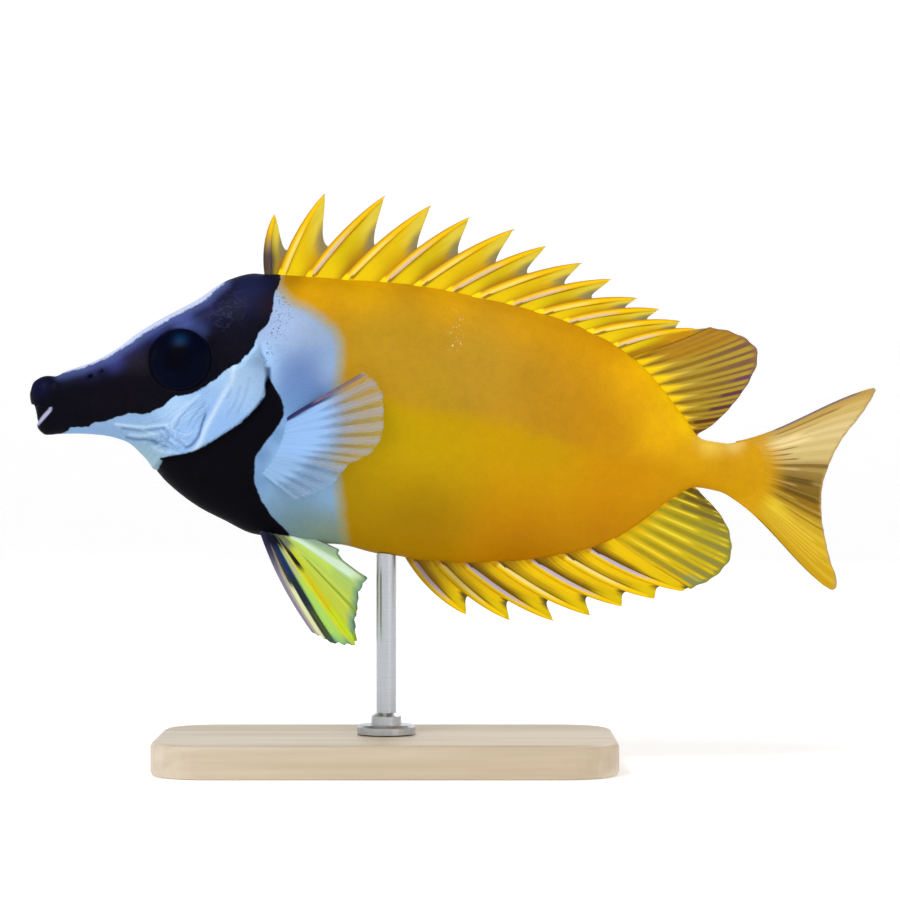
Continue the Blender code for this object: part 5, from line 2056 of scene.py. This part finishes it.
@dataclass(frozen=True)
class FanFinish:
    """A soft fin: colours across and along it, streaks between its rays and stripes."""

    name: str
    rays: int
    across: tuple[tuple[float, Colour], ...]
    root: Colour
    root_end: float
    bone: Colour
    bone_share: float
    between: Colour
    between_share: float
    between_start: float
    between_tip: Optional[Colour] = None
    fork_line: float = 0.0
    fork_width: float = 0.085
    edge: Optional[Colour] = None
    edge_start: float = 0.85
    stripes: tuple[Stripe, ...] = ()
    over: tuple[Stripe, ...] = ()
    root_hold: float = 0.45
    root_point: float = 0.12
    root_lean: float = 0.0
    gap: Place = (0.16, 0.36)
    ray_reach: Place = (0.16, 0.06)
    ray_end: float = 2.0
    fineness: float = 9.0
    opaque: Place = (1.0, 1.0)
    opaque_from: Place = (0.4, 0.9)
    solid: float = 0.45
    surface: Surface = Surface(roughness=0.44, coat=0.03, coat_roughness=0.22, specular=0.06)

    def material(self) -> Material:
        """Builds the fin's material.

        Returns:
            The material.
        """
        material, graph, shader = self.surface.start(self.name)
        at, along = graph.mark("ray_at"), graph.mark("along")
        lines = graph.group(
            EFFECTS.streaks, Across=at, Along=along, Fineness=self.fineness, Length=1.4
        )
        stir = graph.maths("SUBTRACT", lines.outputs["Streak"], 0.5)
        share = graph.plus(stir, 0.06, graph.maths("DIVIDE", at, self.rays - 1.0), clamp=True)
        colour = graph.ramp(share, self.across)
        from_ray = graph.maths("PINGPONG", at, 0.5)
        between = graph.step(graph.plus(stir, 0.20, from_ray), *self.gap)
        start = self.between_start
        grown = graph.step(graph.plus(from_ray, 0.5, along), start + 0.1, start + 0.45)
        dark = self.between
        if self.between_tip:
            dark = graph.blend(graph.step(along, 0.35, 0.95), self.between, self.between_tip)
        colour = graph.paint(colour, dark, between, grown, self.between_share)
        inner = graph.step(along, self.ray_end + 0.15, self.ray_end)
        stem = graph.times(graph.step(from_ray, *self.ray_reach), inner)
        on_ray = graph.maths("MAXIMUM", graph.mark("bone"), stem)
        colour = graph.paint(colour, self.bone, on_ray, self.bone_share)
        if self.fork_line:
            forked = graph.step(from_ray, self.fork_width, self.fork_width * 0.3)
            outer = graph.step(along, self.ray_end + 0.05, self.ray_end + 0.3)
            colour = graph.paint(colour, dark, forked, outer, self.fork_line)
        if self.edge:
            rim = graph.step(graph.plus(stir, 0.12, along), self.edge_start, 1.0)
            colour = graph.blend(rim, colour, self.edge)
        for stripe in self.stripes:
            colour = self._striped(graph, colour, stripe, at, along, stir)
        fringe = graph.plus(stir, 0.22, graph.mark("from_root"))
        fringe = graph.plus(from_ray, self.root_point, fringe)
        leaning = graph.plus(share, -self.root_lean, self.root_lean)
        near = graph.step(
            graph.maths("ADD", fringe, leaning), self.root_end, self.root_end * self.root_hold
        )
        colour = graph.blend(near, colour, self.root)
        for stripe in self.over:
            colour = self._striped(graph, colour, stripe, at, along, stir)
        toned = graph.scaled("SCALE", colour, graph.plus(stir, 0.36, 1.0))
        graph.feed(shader.inputs["Base Color"], toned)
        inner, outer = self.opaque
        if (inner, outer) != (1.0, 1.0):
            thin = graph.plus(graph.step(along, *self.opaque_from), outer - inner, inner)
            solid = graph.times(on_ray, self.solid)
            graph.feed(shader.inputs["Alpha"], graph.maths("ADD", thin, solid, clamp=True))
        raise_bump(graph, shader, lines.outputs["Height"], 0.00010, 0.7)
        return material

    def _striped(
        self, graph: Graph, below: object, stripe: Stripe, at: object, along: object, stir: object
    ) -> Socket:
        """Lays one stripe over a colour.

        Args:
            graph: The material's graph.
            below: The colour under the stripe.
            stripe: The stripe.
            at: Which ray a point lies at.
            along: How far up the fin it lies.
            stir: Noise round 0.

        Returns:
            The colour with the stripe on it.
        """
        far = graph.maths("ABSOLUTE", graph.maths("SUBTRACT", at, stripe.at))
        far = graph.plus(stir, 0.35 * stripe.width, far)
        over = graph.step(far, stripe.width, stripe.width * 0.55)
        ragged = graph.plus(stir, 0.1, along)
        begun = graph.step(ragged, stripe.start - 0.06, stripe.start + 0.05)
        ended = graph.step(ragged, stripe.end, stripe.end - stripe.fade)
        return graph.paint(below, stripe.colour, begun, ended, over, stripe.share)


@dataclass
class MiddleFin:
    """A fin on the middle plane: stiff spines in front, then soft rays."""

    form: BodyForm
    name: str
    below: bool
    spines_x: tuple[float, ...]
    lengths: tuple[float, ...]
    leans: tuple[float, ...]
    dips: tuple[float, ...]
    bow: float
    radii: Place
    notches: Place
    soft_x: Place
    soft_tips: tuple[Place, ...]
    fork_start: float
    fork_spread: float
    spiny_finish: SpinyFinish
    soft_finish: FanFinish
    soft_bows: Place = (0.0, 0.0)
    ray_radii: Place = (0.00036, 0.00011)

    def build(self) -> None:
        """Builds and dresses both parts of the fin."""
        root = self.form.edge_line(self.below, 0.0010)
        places = tuple(root.distance_to_x(x) for x in self.soft_x)
        closing = Bone.between(root.at(places[0]), np.array(self.soft_tips[0]), self.soft_bows[0])
        spiny = SpinyFin(
            self.form, self.below, self.spines_x, self.lengths, self.leans, self.bow,
            self.radii, self.notches, closing, self.dips,
        )
        piece = spiny.build(f"{self.name}_spines")
        settle(piece, self.spiny_finish, Slot.YELLOW, f"{self.name}_fin_spiny")
        soft = FanFin(
            root, places, self.soft_tips, self.soft_finish.rays, bows=self.soft_bows,
            ray_radii=self.ray_radii, fork_starts=(self.fork_start,), fork_spread=self.fork_spread,
        )
        piece = soft.build(f"{self.name}_rays")
        settle(piece, self.soft_finish, Slot.YELLOW, f"{self.name}_fin_soft")


@dataclass
class DorsalFin(MiddleFin):
    """The back fin: thirteen spines, then ten soft rays."""

    name: str = "dorsal"
    below: bool = False
    bow: float = 0.0018
    radii: Place = (0.00096, 0.00080)
    notches: Place = (0.25, 0.74)
    fork_start: float = 0.30
    fork_spread: float = 0.19
    ray_radii: Place = (0.00030, 0.00010)
    spines_x: tuple[float, ...] = (
        0.0527, 0.0559, 0.0624, 0.0712, 0.0802, 0.0885, 0.0961, 0.1028, 0.1108, 0.1182, 0.1247, 0.1310,
        0.1373,
    )
    lengths: tuple[float, ...] = (
        0.0143, 0.0222, 0.0268, 0.0273, 0.0261, 0.0270, 0.0258, 0.0267, 0.0254, 0.0239, 0.0228, 0.0219,
        0.0198,
    )
    leans: tuple[float, ...] = (92, 70, 55, 49, 45, 38.5, 33, 26, 22, 16.5, 15.5, 15, 20)
    dips: tuple[float, ...] = (
        0.26, 0.20, 0.09, 0.06, 0.08, 0.06, 0.13, 0.09, 0.15, 0.06, 0.10, 0.0, 0.0,
    )
    soft_x: Place = (0.1396, 0.1592)
    soft_bows: Place = (-0.0012, -0.0002)
    soft_tips: tuple[Place, ...] = (
        (0.1593, 0.0329), (0.1630, 0.0328), (0.1680, 0.0316), (0.1714, 0.0290), (0.1719, 0.0266),
        (0.1710, 0.0225), (0.1678, 0.0159), (0.1629, 0.0094), (0.1600, 0.0071),
    )
    spiny_finish: SpinyFinish = SpinyFinish(
        name="dorsal_web",
        # The darkening towards the next spine is painted shadow.
        web=(
            (0.00, (192, 150, 4)), (0.16, (206, 180, 6)), (0.42, (200, 174, 6)), (0.62, (190, 156, 6)),
            (0.82, (176, 136, 6)), (1.00, (160, 114, 8)),
        ),
        # crease is painted shade in the crease behind each spine, and streaks are painted highlight on
        # the spines.
        crease=(150, 104, 4), crease_shade_mm=0.5, low=(238, 206, 4), low_end=0.46, tip=(212, 190, 62),
        tip_mm=8.0, notch=(128, 120, 84), notch_mm=4.6, streaks=((216, 196, 172), (248, 224, 110)),
        highlight_streak_reach=(0.02, 0.66), spine=(240, 192, 4), spine_front=(188, 128, 20),
        sheath=(255, 228, 12), first=(46, 34, 56), first_share=0.92, first_end=0.95,
        last=(184, 130, 10), last_at=12.2,
    )
    soft_finish: FanFinish = FanFinish(
        name="dorsal_soft", rays=10,
        across=(
            (0.0, (178, 128, 10)), (0.14, (176, 140, 30)), (0.3, (172, 144, 48)), (0.7, (166, 138, 36)),
            (1.0, (150, 112, 10)),
        ),
        root=(250, 208, 2), root_end=0.40, root_hold=0.30, root_point=0.50, gap=(0.28, 0.41),
        bone=(206, 180, 88), bone_share=0.5, fork_line=0.85, fork_width=0.13, ray_end=0.30,
        between=(132, 98, 16), between_share=0.85, between_start=-0.1, between_tip=(106, 70, 66),
        edge=(136, 100, 74), edge_start=0.93,
        stripes=(
            Stripe(4.5, 0.18, (92, 52, 92), 0.80, 1.2, 0.6),
            Stripe(5.5, 0.20, (80, 40, 62), 0.70, 1.2, 0.7),
            Stripe(6.5, 0.20, (74, 32, 46), 0.60, 1.2, 0.75),
            Stripe(7.5, 0.24, (78, 36, 14), 0.30, 1.2, 0.8),
            Stripe(8.5, 0.26, (86, 48, 6), 0.25, 1.2, 0.8),
            Stripe(0.5, 0.4, (170, 120, 60), 0.45, 0.9, 0.4),
            Stripe(0.9, 1.4, (168, 122, 24), 0.30, 1.1, 0.7, 0.2),
        ),
        ray_reach=(0.14, 0.04), fineness=13.0,
    )


@dataclass
class AnalFin(MiddleFin):
    """The fin below the tail's half of the body: seven spines, then nine soft rays."""

    name: str = "anal"
    below: bool = True
    bow: float = 0.0022
    radii: Place = (0.00094, 0.00084)
    notches: Place = (0.48, 0.82)
    fork_start: float = 0.5
    fork_spread: float = 0.20
    spines_x: tuple[float, ...] = (0.0960, 0.1022, 0.1082, 0.1157, 0.1238, 0.1314, 0.1372)
    lengths: tuple[float, ...] = (0.0189, 0.0226, 0.0262, 0.0267, 0.0254, 0.0251, 0.0257)
    leans: tuple[float, ...] = (37, 31, 24.5, 21, 18.5, 17, 15.5)
    dips: tuple[float, ...] = (0.10, 0.09, 0.10, 0.08, 0.06, 0.05, 0.0)
    soft_x: Place = (0.1416, 0.1597)
    soft_tips: tuple[Place, ...] = (
        (0.1636, -0.0300), (0.1690, -0.0262), (0.1721, -0.0204), (0.1712, -0.0159), (0.1682, -0.0114),
        (0.1624, -0.0066),
    )
    spiny_finish: SpinyFinish = SpinyFinish(
        name="anal_web",
        # The dark start just behind each spine is painted shadow.
        web=(
            (0.00, (104, 76, 4)), (0.16, (116, 88, 4)), (0.36, (168, 132, 4)), (0.58, (222, 182, 4)),
            (1.00, (230, 188, 4)),
        ),
        # crease, low, notch and first are painted shadow: behind each spine, at the web roots, at the
        # notches and at the first webs' roots; streaks are painted highlight on the spines.
        crease=(92, 66, 4), crease_shade_mm=0.6, low=(150, 106, 2), low_end=0.22, tip=(218, 188, 0),
        tip_mm=10.0, notch=(62, 52, 30), notch_mm=2.6, streaks=((174, 168, 212), (236, 218, 130)),
        highlight_streak_reach=(0.03, 0.78), spine=(238, 196, 4), spine_front=(222, 176, 6), sheath=(190, 134, 2),
        first=(110, 78, 10), first_share=0.6, first_end=3.2, last=(222, 186, 6), last_at=6.2,
        stirred=0.28,
    )
    soft_finish: FanFinish = FanFinish(
        name="anal_soft", rays=9,
        across=(
            (0.0, (214, 176, 6)), (0.2, (200, 172, 12)), (0.5, (184, 166, 30)), (0.74, (146, 128, 22)),
            (1.0, (104, 84, 12)),
        ),
        root=(222, 178, 2), root_end=0.30, root_hold=0.30, root_point=0.40, gap=(0.20, 0.38),
        bone=(234, 206, 52), bone_share=0.8, between=(146, 130, 20), between_share=0.8,
        between_start=0.10, between_tip=(118, 116, 60), fork_line=0.45, edge=(132, 130, 50),
        edge_start=0.93,
        stripes=(
            Stripe(5.5, 0.28, (110, 92, 42), 0.30, 1.2, 0.7),
            Stripe(6.5, 0.30, (96, 70, 30), 0.28, 1.2, 0.8),
            Stripe(7.5, 0.32, (84, 60, 20), 0.25, 1.2, 0.8),
            Stripe(0.7, 0.5, (116, 138, 92), 0.84, 1.2, 0.5),
        ),
        ray_end=0.5, fineness=12.0,
    )


@dataclass
class TailFin:
    """The forked tail fin: seventeen rays, each forked twice, rooted deep in the flesh."""

    root: tuple[Place, ...] = (
        (0.1655, 0.0053), (0.1712, 0.0038), (0.1736, 0.0000), (0.1726, -0.0036), (0.1672, -0.0055),
    )
    tips: tuple[Place, ...] = (
        (0.2002, 0.0239), (0.2010, 0.0236), (0.2007, 0.0226), (0.1986, 0.0178), (0.1944, 0.0104),
        (0.1923, 0.0042), (0.1914, -0.0016), (0.1922, -0.0082), (0.1938, -0.0134), (0.1960, -0.0190),
        (0.1980, -0.0232), (0.1981, -0.0248), (0.1972, -0.0256), (0.1958, -0.0251),
    )
    finish: FanFinish = FanFinish(
        name="tail_rays", rays=17,
        across=(
            (0.00, (190, 150, 70)), (0.08, (206, 176, 104)), (0.20, (222, 198, 138)),
            (0.36, (210, 184, 120)), (0.43, (158, 130, 66)), (0.50, (124, 98, 40)), (0.57, (116, 86, 18)),
            (0.63, (150, 114, 20)), (0.69, (204, 166, 38)), (0.80, (214, 176, 26)), (1.00, (198, 154, 4)),
        ),
        root=(206, 152, 6), root_end=0.34, root_hold=0.0, root_lean=0.06, bone=(232, 208, 130),
        bone_share=0.12, between=(150, 118, 40), between_share=0.16, between_start=0.18,
        edge=(180, 150, 96), edge_start=0.96,
        stripes=(
            Stripe(0.9, 0.20, (136, 102, 34), 0.34, 0.84, 0.7),
            Stripe(1.7, 0.12, (146, 114, 50), 0.36, 0.70, 0.5),
            Stripe(2.6, 0.5, (240, 218, 156), 0.24, 0.60, 0.7),
            Stripe(3.7, 0.3, (244, 222, 156), 0.28, 0.72, 0.6),
            Stripe(4.4, 0.14, (146, 112, 34), 0.30, 0.60, 0.8),
            Stripe(5.2, 0.16, (132, 100, 26), 0.26, 0.56, 0.8),
            Stripe(5.9, 0.12, (124, 94, 26), 0.24, 0.66, 0.8),
            Stripe(6.6, 0.20, (112, 86, 30), 0.28, 1.2, 0.75),
            Stripe(7.0, 0.14, (206, 178, 120), 0.28, 0.7, 0.6),
            Stripe(8.0, 0.30, (88, 64, 10), 0.20, 0.92, 0.75),
            Stripe(8.5, 0.12, (190, 156, 96), 0.24, 0.7, 0.6),
            Stripe(9.2, 0.26, (96, 68, 8), 0.30, 1.0, 0.7),
            Stripe(9.75, 0.12, (196, 160, 50), 0.28, 0.7, 0.6),
            Stripe(10.3, 0.16, (116, 86, 12), 0.36, 1.1, 0.65),
            Stripe(11.1, 0.14, (144, 108, 10), 0.50, 1.1, 0.7),
            Stripe(11.9, 1.1, (234, 204, 44), 0.20, 0.66, 0.5, 0.3),
            Stripe(12.5, 0.10, (240, 208, 90), 0.30, 0.90, 0.6),
            Stripe(13.5, 0.10, (236, 202, 84), 0.34, 0.94, 0.55),
            Stripe(14.5, 0.10, (232, 198, 80), 0.30, 0.86, 0.5),
            Stripe(0.0, 0.24, (112, 98, 112), 0.34, 0.97, 0.8),
            Stripe(16.0, 0.16, (124, 92, 8), 0.30, 0.97, 0.7),
        ),
        fineness=20.0,
    )

    def build(self) -> None:
        """Builds and dresses the fin."""
        root = Line(smooth_path(self.root, 60))
        fin = FanFin(
            root, (0.0, root.length), self.tips, 17, bows=(-0.0019, 0.0016),
            halves=(0.00048, 0.00014), ray_radii=(0.00026, 0.00009), fork_starts=(0.42, 0.66),
            fork_spread=0.24, steps_along=64, scallop=0.004, ray_start=0.1, lean=2.0,
            corrugation=0.15, flesh=(0.1738, 0.0044, 0.0094),
        )
        settle(fin.build("tail_fin_rays"), self.finish, Slot.YELLOW, "tail_fin")


@dataclass
class PectoralFin:
    """A breast fin, thin and clear towards its edge."""

    form: BodyForm
    side: Side
    root: tuple[Place, Place] = ((0.0612, -0.0036), (0.0566, -0.0160))
    tips: tuple[Place, ...] = (
        (0.0791, 0.0103), (0.0818, 0.0087), (0.0843, 0.0056), (0.0855, -0.0030), (0.0838, -0.0078),
        (0.0784, -0.0120), (0.0752, -0.0172), (0.0672, -0.0218),
    )
    sunk: float = 0.0006
    finish: FanFinish = FanFinish(
        name="pectoral_membrane", rays=13,
        across=(
            (0.00, (140, 158, 200)), (0.30, (158, 186, 222)), (0.60, (146, 184, 222)),
            (1.00, (134, 174, 210)),
        ),
        root=(142, 180, 228), root_end=0.84, root_hold=0.50, bone=(190, 168, 130), bone_share=0.75,
        between=(190, 172, 96), between_share=0.8, between_start=0.55,
        over=(
            Stripe(6.0, 8.5, (96, 132, 176), -0.3, 0.16, 0.75, 0.22),
            Stripe(0.0, 1.2, (26, 30, 74), 0.0, 0.40, 1.0, 0.3),
            Stripe(0.0, 0.80, (44, 44, 92), 0.0, 0.80, 1.0, 0.4),
            Stripe(0.0, 0.40, (122, 100, 120), 0.40, 1.02, 0.9, 0.1),
            Stripe(11.2, 4.2, (136, 172, 210), 0.0, 1.3, 0.85),
        ),
        ray_reach=(0.46, 0.08), opaque=(0.96, 0.16), opaque_from=(0.34, 0.68), solid=0.40, fineness=6.0,
    )

    def build(self) -> None:
        """Builds and dresses the fin."""
        starts = tuple(float(self.form.flank_y(*end)) - self.sunk for end in self.root)
        placed = BesideBody(self.side, self.root, self.tips[0], starts, 0.30, 5.0, 0.00018)
        root = Line(self.root)
        fin = FanFin(
            root, (0.0003, root.length - 0.0003), self.tips, 13, placed, halves=(0.00030, 0.00010),
            ray_radii=(0.00020, 0.00008), fork_starts=(0.58,), fork_spread=0.16, scallop=0.006,
            ray_start=0.0, corrugation=0.25,
        )
        piece = fin.build(f"breast_fin_{self.side.word}")
        settle(piece, self.finish, Slot.CLEAR, f"pectoral_fin_{self.side.word}")


@dataclass
class PelvicFin:
    """A belly fin: an outer spine, three soft rays and an inner spine tied to the belly."""

    form: BodyForm
    side: Side
    root: tuple[Place, Place] = ((0.0586, -0.0300), (0.0800, -0.0302))
    places: tuple[float, ...] = (0.0012, 0.0028, 0.0042, 0.0055, 0.0070, 0.0125)
    tips: tuple[Place, ...] = (
        (0.0756, -0.0526), (0.0800, -0.0542), (0.0858, -0.0540), (0.0849, -0.0462), (0.0863, -0.0384),
        (0.0785, -0.0324),
    )
    bows: tuple[float, ...] = (-0.0022, -0.0012, 0.0, 0.0, 0.0, 0.0)
    dips: tuple[float, ...] = (0.01, 0.0, 0.03, 0.04, 0.24)
    beside_middle: float = 0.0026
    splay: float = 0.26
    halves: Place = (0.00046, 0.00012)
    finish: FanFinish = FanFinish(
        name="belly_fin_membrane", rays=6,
        across=(
            (0.00, (130, 126, 146)), (0.12, (150, 148, 120)), (0.20, (40, 48, 70)),
            (0.27, (172, 216, 90)), (0.36, (200, 206, 40)), (0.46, (190, 196, 40)),
            (0.60, (186, 202, 76)), (0.72, (164, 194, 100)), (0.82, (196, 218, 180)),
            (0.92, (150, 176, 150)), (1.00, (140, 164, 160)),
        ),
        root=(110, 130, 112), root_end=0.08,
        over=(
            Stripe(0.7, 1.5, (12, 15, 34), 0.0, 0.20, 1.0, 0.1),
            Stripe(0.0, 0.5, (34, 34, 60), 0.0, 0.46, 0.9, 0.3),
            Stripe(2.6, 0.7, (104, 112, 96), 0.0, 0.22, 0.95, 0.1),
        ),
        bone=(214, 222, 120), bone_share=0.2, between=(160, 186, 84), between_share=0.3,
        between_start=0.30, edge=(110, 150, 118), edge_start=0.88,
        stripes=(
            Stripe(0.0, 0.22, (126, 120, 146), 0.10, 1.2, 0.9),
            Stripe(0.30, 0.20, (176, 164, 144), 0.22, 1.2, 0.8),
            Stripe(0.66, 0.24, (28, 28, 44), 0.0, 0.60, 0.9),
            Stripe(0.55, 0.26, (222, 226, 176), 0.52, 1.2, 0.85),
            Stripe(1.0, 0.34, (26, 46, 92), 0.0, 0.75, 1.0),
            Stripe(1.0, 0.30, (34, 44, 30), 0.40, 1.2, 0.8),
            Stripe(1.5, 0.22, (186, 170, 140), 0.08, 0.46, 0.8),
            Stripe(1.5, 0.26, (150, 208, 110), 0.55, 1.2, 0.5),
            Stripe(2.0, 0.30, (30, 27, 24), 0.0, 0.40, 1.0),
            Stripe(2.04, 0.26, (204, 186, 10), 0.38, 0.80, 0.8),
            Stripe(2.04, 0.20, (186, 214, 20), 0.70, 1.2, 0.8),
            Stripe(3.0, 0.10, (140, 164, 36), 0.32, 1.2, 0.8),
            Stripe(3.6, 0.30, (190, 216, 80), 0.05, 0.7, 0.6),
            Stripe(4.0, 0.30, (206, 228, 206), 0.06, 0.92, 0.85),
        ),
        fineness=10.0,
    )

    def build(self) -> None:
        """Builds and dresses the fin."""
        starts = (self.beside_middle, self.beside_middle)
        placed = BesideBody(self.side, self.root, self.tips[0], starts, self.splay, 0.0, 0.00010)
        root = Line(self.root)
        bones = [
            Bone.between(root.at(place), np.array(tip), bow)
            for place, tip, bow in zip(self.places, self.tips, self.bows)
        ]
        draft = Draft()
        for k, ends in enumerate(zip(bones[:-1], bones[1:])):
            self._web(draft, k, ends, placed)
        for k, bone in enumerate(bones[:-1]):
            self._ray(draft, k, bone, placed)
        piece = draft.make(f"belly_fin_{self.side.word}")
        settle(piece, self.finish, Slot.LIME, f"pelvic_fin_{self.side.word}")

    def _web(self, draft: Draft, k: int, ends: tuple[Bone, Bone], placed: Sheeted) -> None:
        """Adds the web behind one ray.

        Args:
            draft: The fin's draft.
            k: The web's number, from the front.
            ends: The rays before and behind it.
            placed: How the fin lies beside the body.
        """
        across = np.linspace(0, 1, 14)[None, :]
        rows = np.linspace(-0.04, 1, 36)[:, None]
        share = np.clip(rows, 0, 1)
        ragged = 0.012 * np.sin(across * 17 + k * 2.1) * np.sin(math.pi * across)
        sag = (4 * across * (1 - across) * self.dips[k] + ragged) * share**2
        spot = hung(ends[0].at(rows), ends[1].at(rows), across, sag)
        half = self.halves[0] + (self.halves[1] - self.halves[0]) * share**0.7
        half = half * (0.6 + 0.4 * np.abs(np.cos(math.pi * across)))
        marks = {"ray_at": k + across, "along": share, "from_root": share, "bone": 0.0}
        draft.sheet(spot, half, placed, marks)

    def _ray(self, draft: Draft, k: int, bone: Bone, placed: Sheeted) -> None:
        """Adds one spine or soft ray.

        Args:
            draft: The fin's draft.
            k: The ray's number, from the front.
            bone: Its line.
            placed: How the fin lies beside the body.
        """
        along = np.linspace(-0.04, 0.99, 26)
        radii = (0.00080, 0.00016) if k in (0, 4) else (0.00042, 0.00012)
        radius = np.linspace(*radii, 26)[:, None]
        share = np.clip(along, 0, 1)[:, None]
        marks = {"ray_at": float(k), "along": share, "from_root": share}
        draft.rod(bone.at(along), radius, 0.8 * radius, turns(10), placed, marks)


@dataclass(frozen=True)
class WoodFinish:
    """Pale oiled wood with a straight grain."""

    surface: Surface = Surface(roughness=0.46, coat=0.10, coat_roughness=0.3)
    light: Colour = (214, 200, 178)
    grain: Colour = (186, 166, 138)

    def material(self) -> Material:
        """Builds the wood.

        Returns:
            The material.
        """
        material, graph, shader = self.surface.start("pale_wood")
        stretched = graph.scaled("MULTIPLY", graph.grid(), (14.0, 260.0, 260.0))
        fibres = graph.noise(stretched, 1.0, 5.0)
        bands = graph.noise(stretched, 0.22, 2.0)
        both = graph.plus(bands, 0.9, graph.times(fibres, 0.55))
        colour = graph.blend(graph.step(both, 0.45, 0.95), self.light, self.grain)
        graph.feed(shader.inputs["Base Color"], colour)
        raise_bump(graph, shader, fibres, 0.00008, 0.5)
        return material


@dataclass(frozen=True)
class SteelFinish:
    """Turned steel with fine rings."""

    surface: Surface = Surface(roughness=0.28, metallic=1.0)
    steel: Colour = (196, 198, 202)
    dull: Colour = (164, 168, 174)

    def material(self) -> Material:
        """Builds the steel.

        Returns:
            The material.
        """
        material, graph, shader = self.surface.start("turned_steel")
        rings = graph.noise(graph.scaled("MULTIPLY", graph.grid(), (60.0, 60.0, 5200.0)), 1.0, 2.0)
        graph.feed(shader.inputs["Base Color"], graph.blend(rings, self.steel, self.dull))
        raise_bump(graph, shader, rings, 0.00001, 0.4)
        return material


@dataclass(frozen=True)
class Stand:
    """The display stand, whose solids keep their shape and get their finish."""

    wood: WoodFinish = WoodFinish()
    steel: SteelFinish = SteelFinish()

    def dress(self) -> None:
        """Puts the finishes on the plate and the rod."""
        for node, finish, slot in (
            ("stand_plate", self.wood, Slot.WOOD), ("stand_rod", self.steel, Slot.STEEL),
        ):
            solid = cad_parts[node]
            solid.data.materials.clear()
            solid.data.materials.append(finish.material())
            solid.data.shade_smooth()
            solid.data.set_sharp_from_angle(angle=math.radians(32))
            log.info("%s dressed", node)


@dataclass(frozen=True)
class Lamp:
    """One soft square lamp."""

    name: str
    place: tuple[float, float, float]
    size: float
    power: float
    colour: Linear = WHITE


@dataclass
class Studio:
    """Pale floor and surround, soft lamps and the camera."""

    picture_width: float = 0.2160
    middle: Place = (-0.00072, 0.0763)
    camera_distance: float = 0.80
    sensor_mm: float = 36.0
    floor_radius: float = 1.7
    wall_bend: float = 0.6
    wall_height: float = 1.6
    world_light: float = 0.40
    floor_shade: Linear = (0.93, 0.93, 0.93)
    floor_columns: int = 96
    floor_glow: float = 0.30
    lamps: tuple[Lamp, ...] = (
        Lamp("key_lamp", (-0.42, -0.62, 0.95), 0.34, 4.8, (0.96, 0.98, 1.0)),
        Lamp("fill_lamp", (0.75, -0.85, 0.35), 0.60, 1.0, (1.0, 0.97, 0.92)),
        Lamp("rear_lamp", (0.30, 0.95, 0.80), 0.60, 2.4),
    )

    def surround(self) -> None:
        """Makes the floor, which curves up into a wall all round."""
        bend = np.linspace(0, math.pi / 2, 14)
        top = self.floor_radius + self.wall_bend
        radius = np.array([0.02, 0.4, 0.9, *(self.floor_radius + self.wall_bend * np.sin(bend)), top])
        curve = self.wall_bend * (1 - np.cos(bend))
        height = np.array([0.0, 0.0, 0.0, *curve, self.wall_height])
        r, z, turn = radius[:, None], height[:, None], turns(self.floor_columns)
        draft = Draft()
        points = np.stack([r * np.cos(turn), r * np.sin(turn), z + 0 * turn], axis=-1)
        numbers = draft.add(points, {})
        draft.skin_over(numbers, around=True)
        draft.faces.append(tuple(numbers[0].tolist()))
        floor = draft.make("floor", Matrix.Identity(4))
        material, graph, shader = Surface(roughness=0.9, specular=0.2).start("pale_floor")
        grain = graph.noise(graph.grid(), 9.0, 3.0)
        tones = [(*(share * v for v in self.floor_shade), 1.0) for share in (1.0, 0.99)]
        graph.feed(shader.inputs["Base Color"], graph.blend(grain, *tones))
        shader.inputs["Emission Color"].default_value = (*WHITE, 1.0)
        shader.inputs["Emission Strength"].default_value = self.floor_glow
        floor.data.materials.append(material)

    def light(self) -> None:
        """Hangs the lamps and lights the surround."""
        aim = Vector((0.0, 0.0, self.middle[1]))
        for lamp in self.lamps:
            data = bpy.data.lights.new(lamp.name, "AREA")
            data.energy, data.size, data.color = lamp.power, lamp.size, lamp.colour
            hung_lamp = bpy.data.objects.new(lamp.name, data)
            hung_lamp.location = lamp.place
            way = aim - hung_lamp.location
            hung_lamp.rotation_euler = way.to_track_quat("-Z", "Y").to_euler()
            bpy.context.scene.collection.objects.link(hung_lamp)
        world = bpy.data.worlds.new("daylight")
        world.use_nodes = True
        backdrop = world.node_tree.nodes["Background"]
        backdrop.inputs["Color"].default_value = (*WHITE, 1.0)
        backdrop.inputs["Strength"].default_value = self.world_light
        bpy.context.scene.world = world
        bpy.context.scene.view_settings.view_transform = "Standard"

    def camera(self) -> None:
        """Sets the camera square to the fish's left side."""
        data = bpy.data.cameras.new("camera")
        data.sensor_width = self.sensor_mm
        data.lens = self.sensor_mm * self.camera_distance / self.picture_width
        data.clip_start, data.clip_end = 0.05, 20.0
        eye = bpy.data.objects.new("camera", data)
        eye.location = (self.middle[0], -self.camera_distance, self.middle[1])
        eye.rotation_euler = (math.pi / 2, 0.0, 0.0)
        bpy.context.scene.collection.objects.link(eye)
        bpy.context.scene.camera = eye

    def build(self) -> None:
        """Builds the studio."""
        self.camera()
        self.light()
        self.surround()
        log.info("studio ready")


def main() -> None:
    """Builds every piece in order."""
    logging.basicConfig(level=logging.INFO, format="%(name)s: %(message)s")
    Studio().build()
    form, eye = BodyForm(), EyePlace()
    Skin(form, eye).build()
    for side in Side:
        Eye(eye, side).build()
    DorsalFin(form).build()
    AnalFin(form).build()
    TailFin().build()
    for side in Side:
        PectoralFin(form, side).build()
        PelvicFin(form, side).build()
    Stand().dress()


if __name__ == "__main__":
    main()
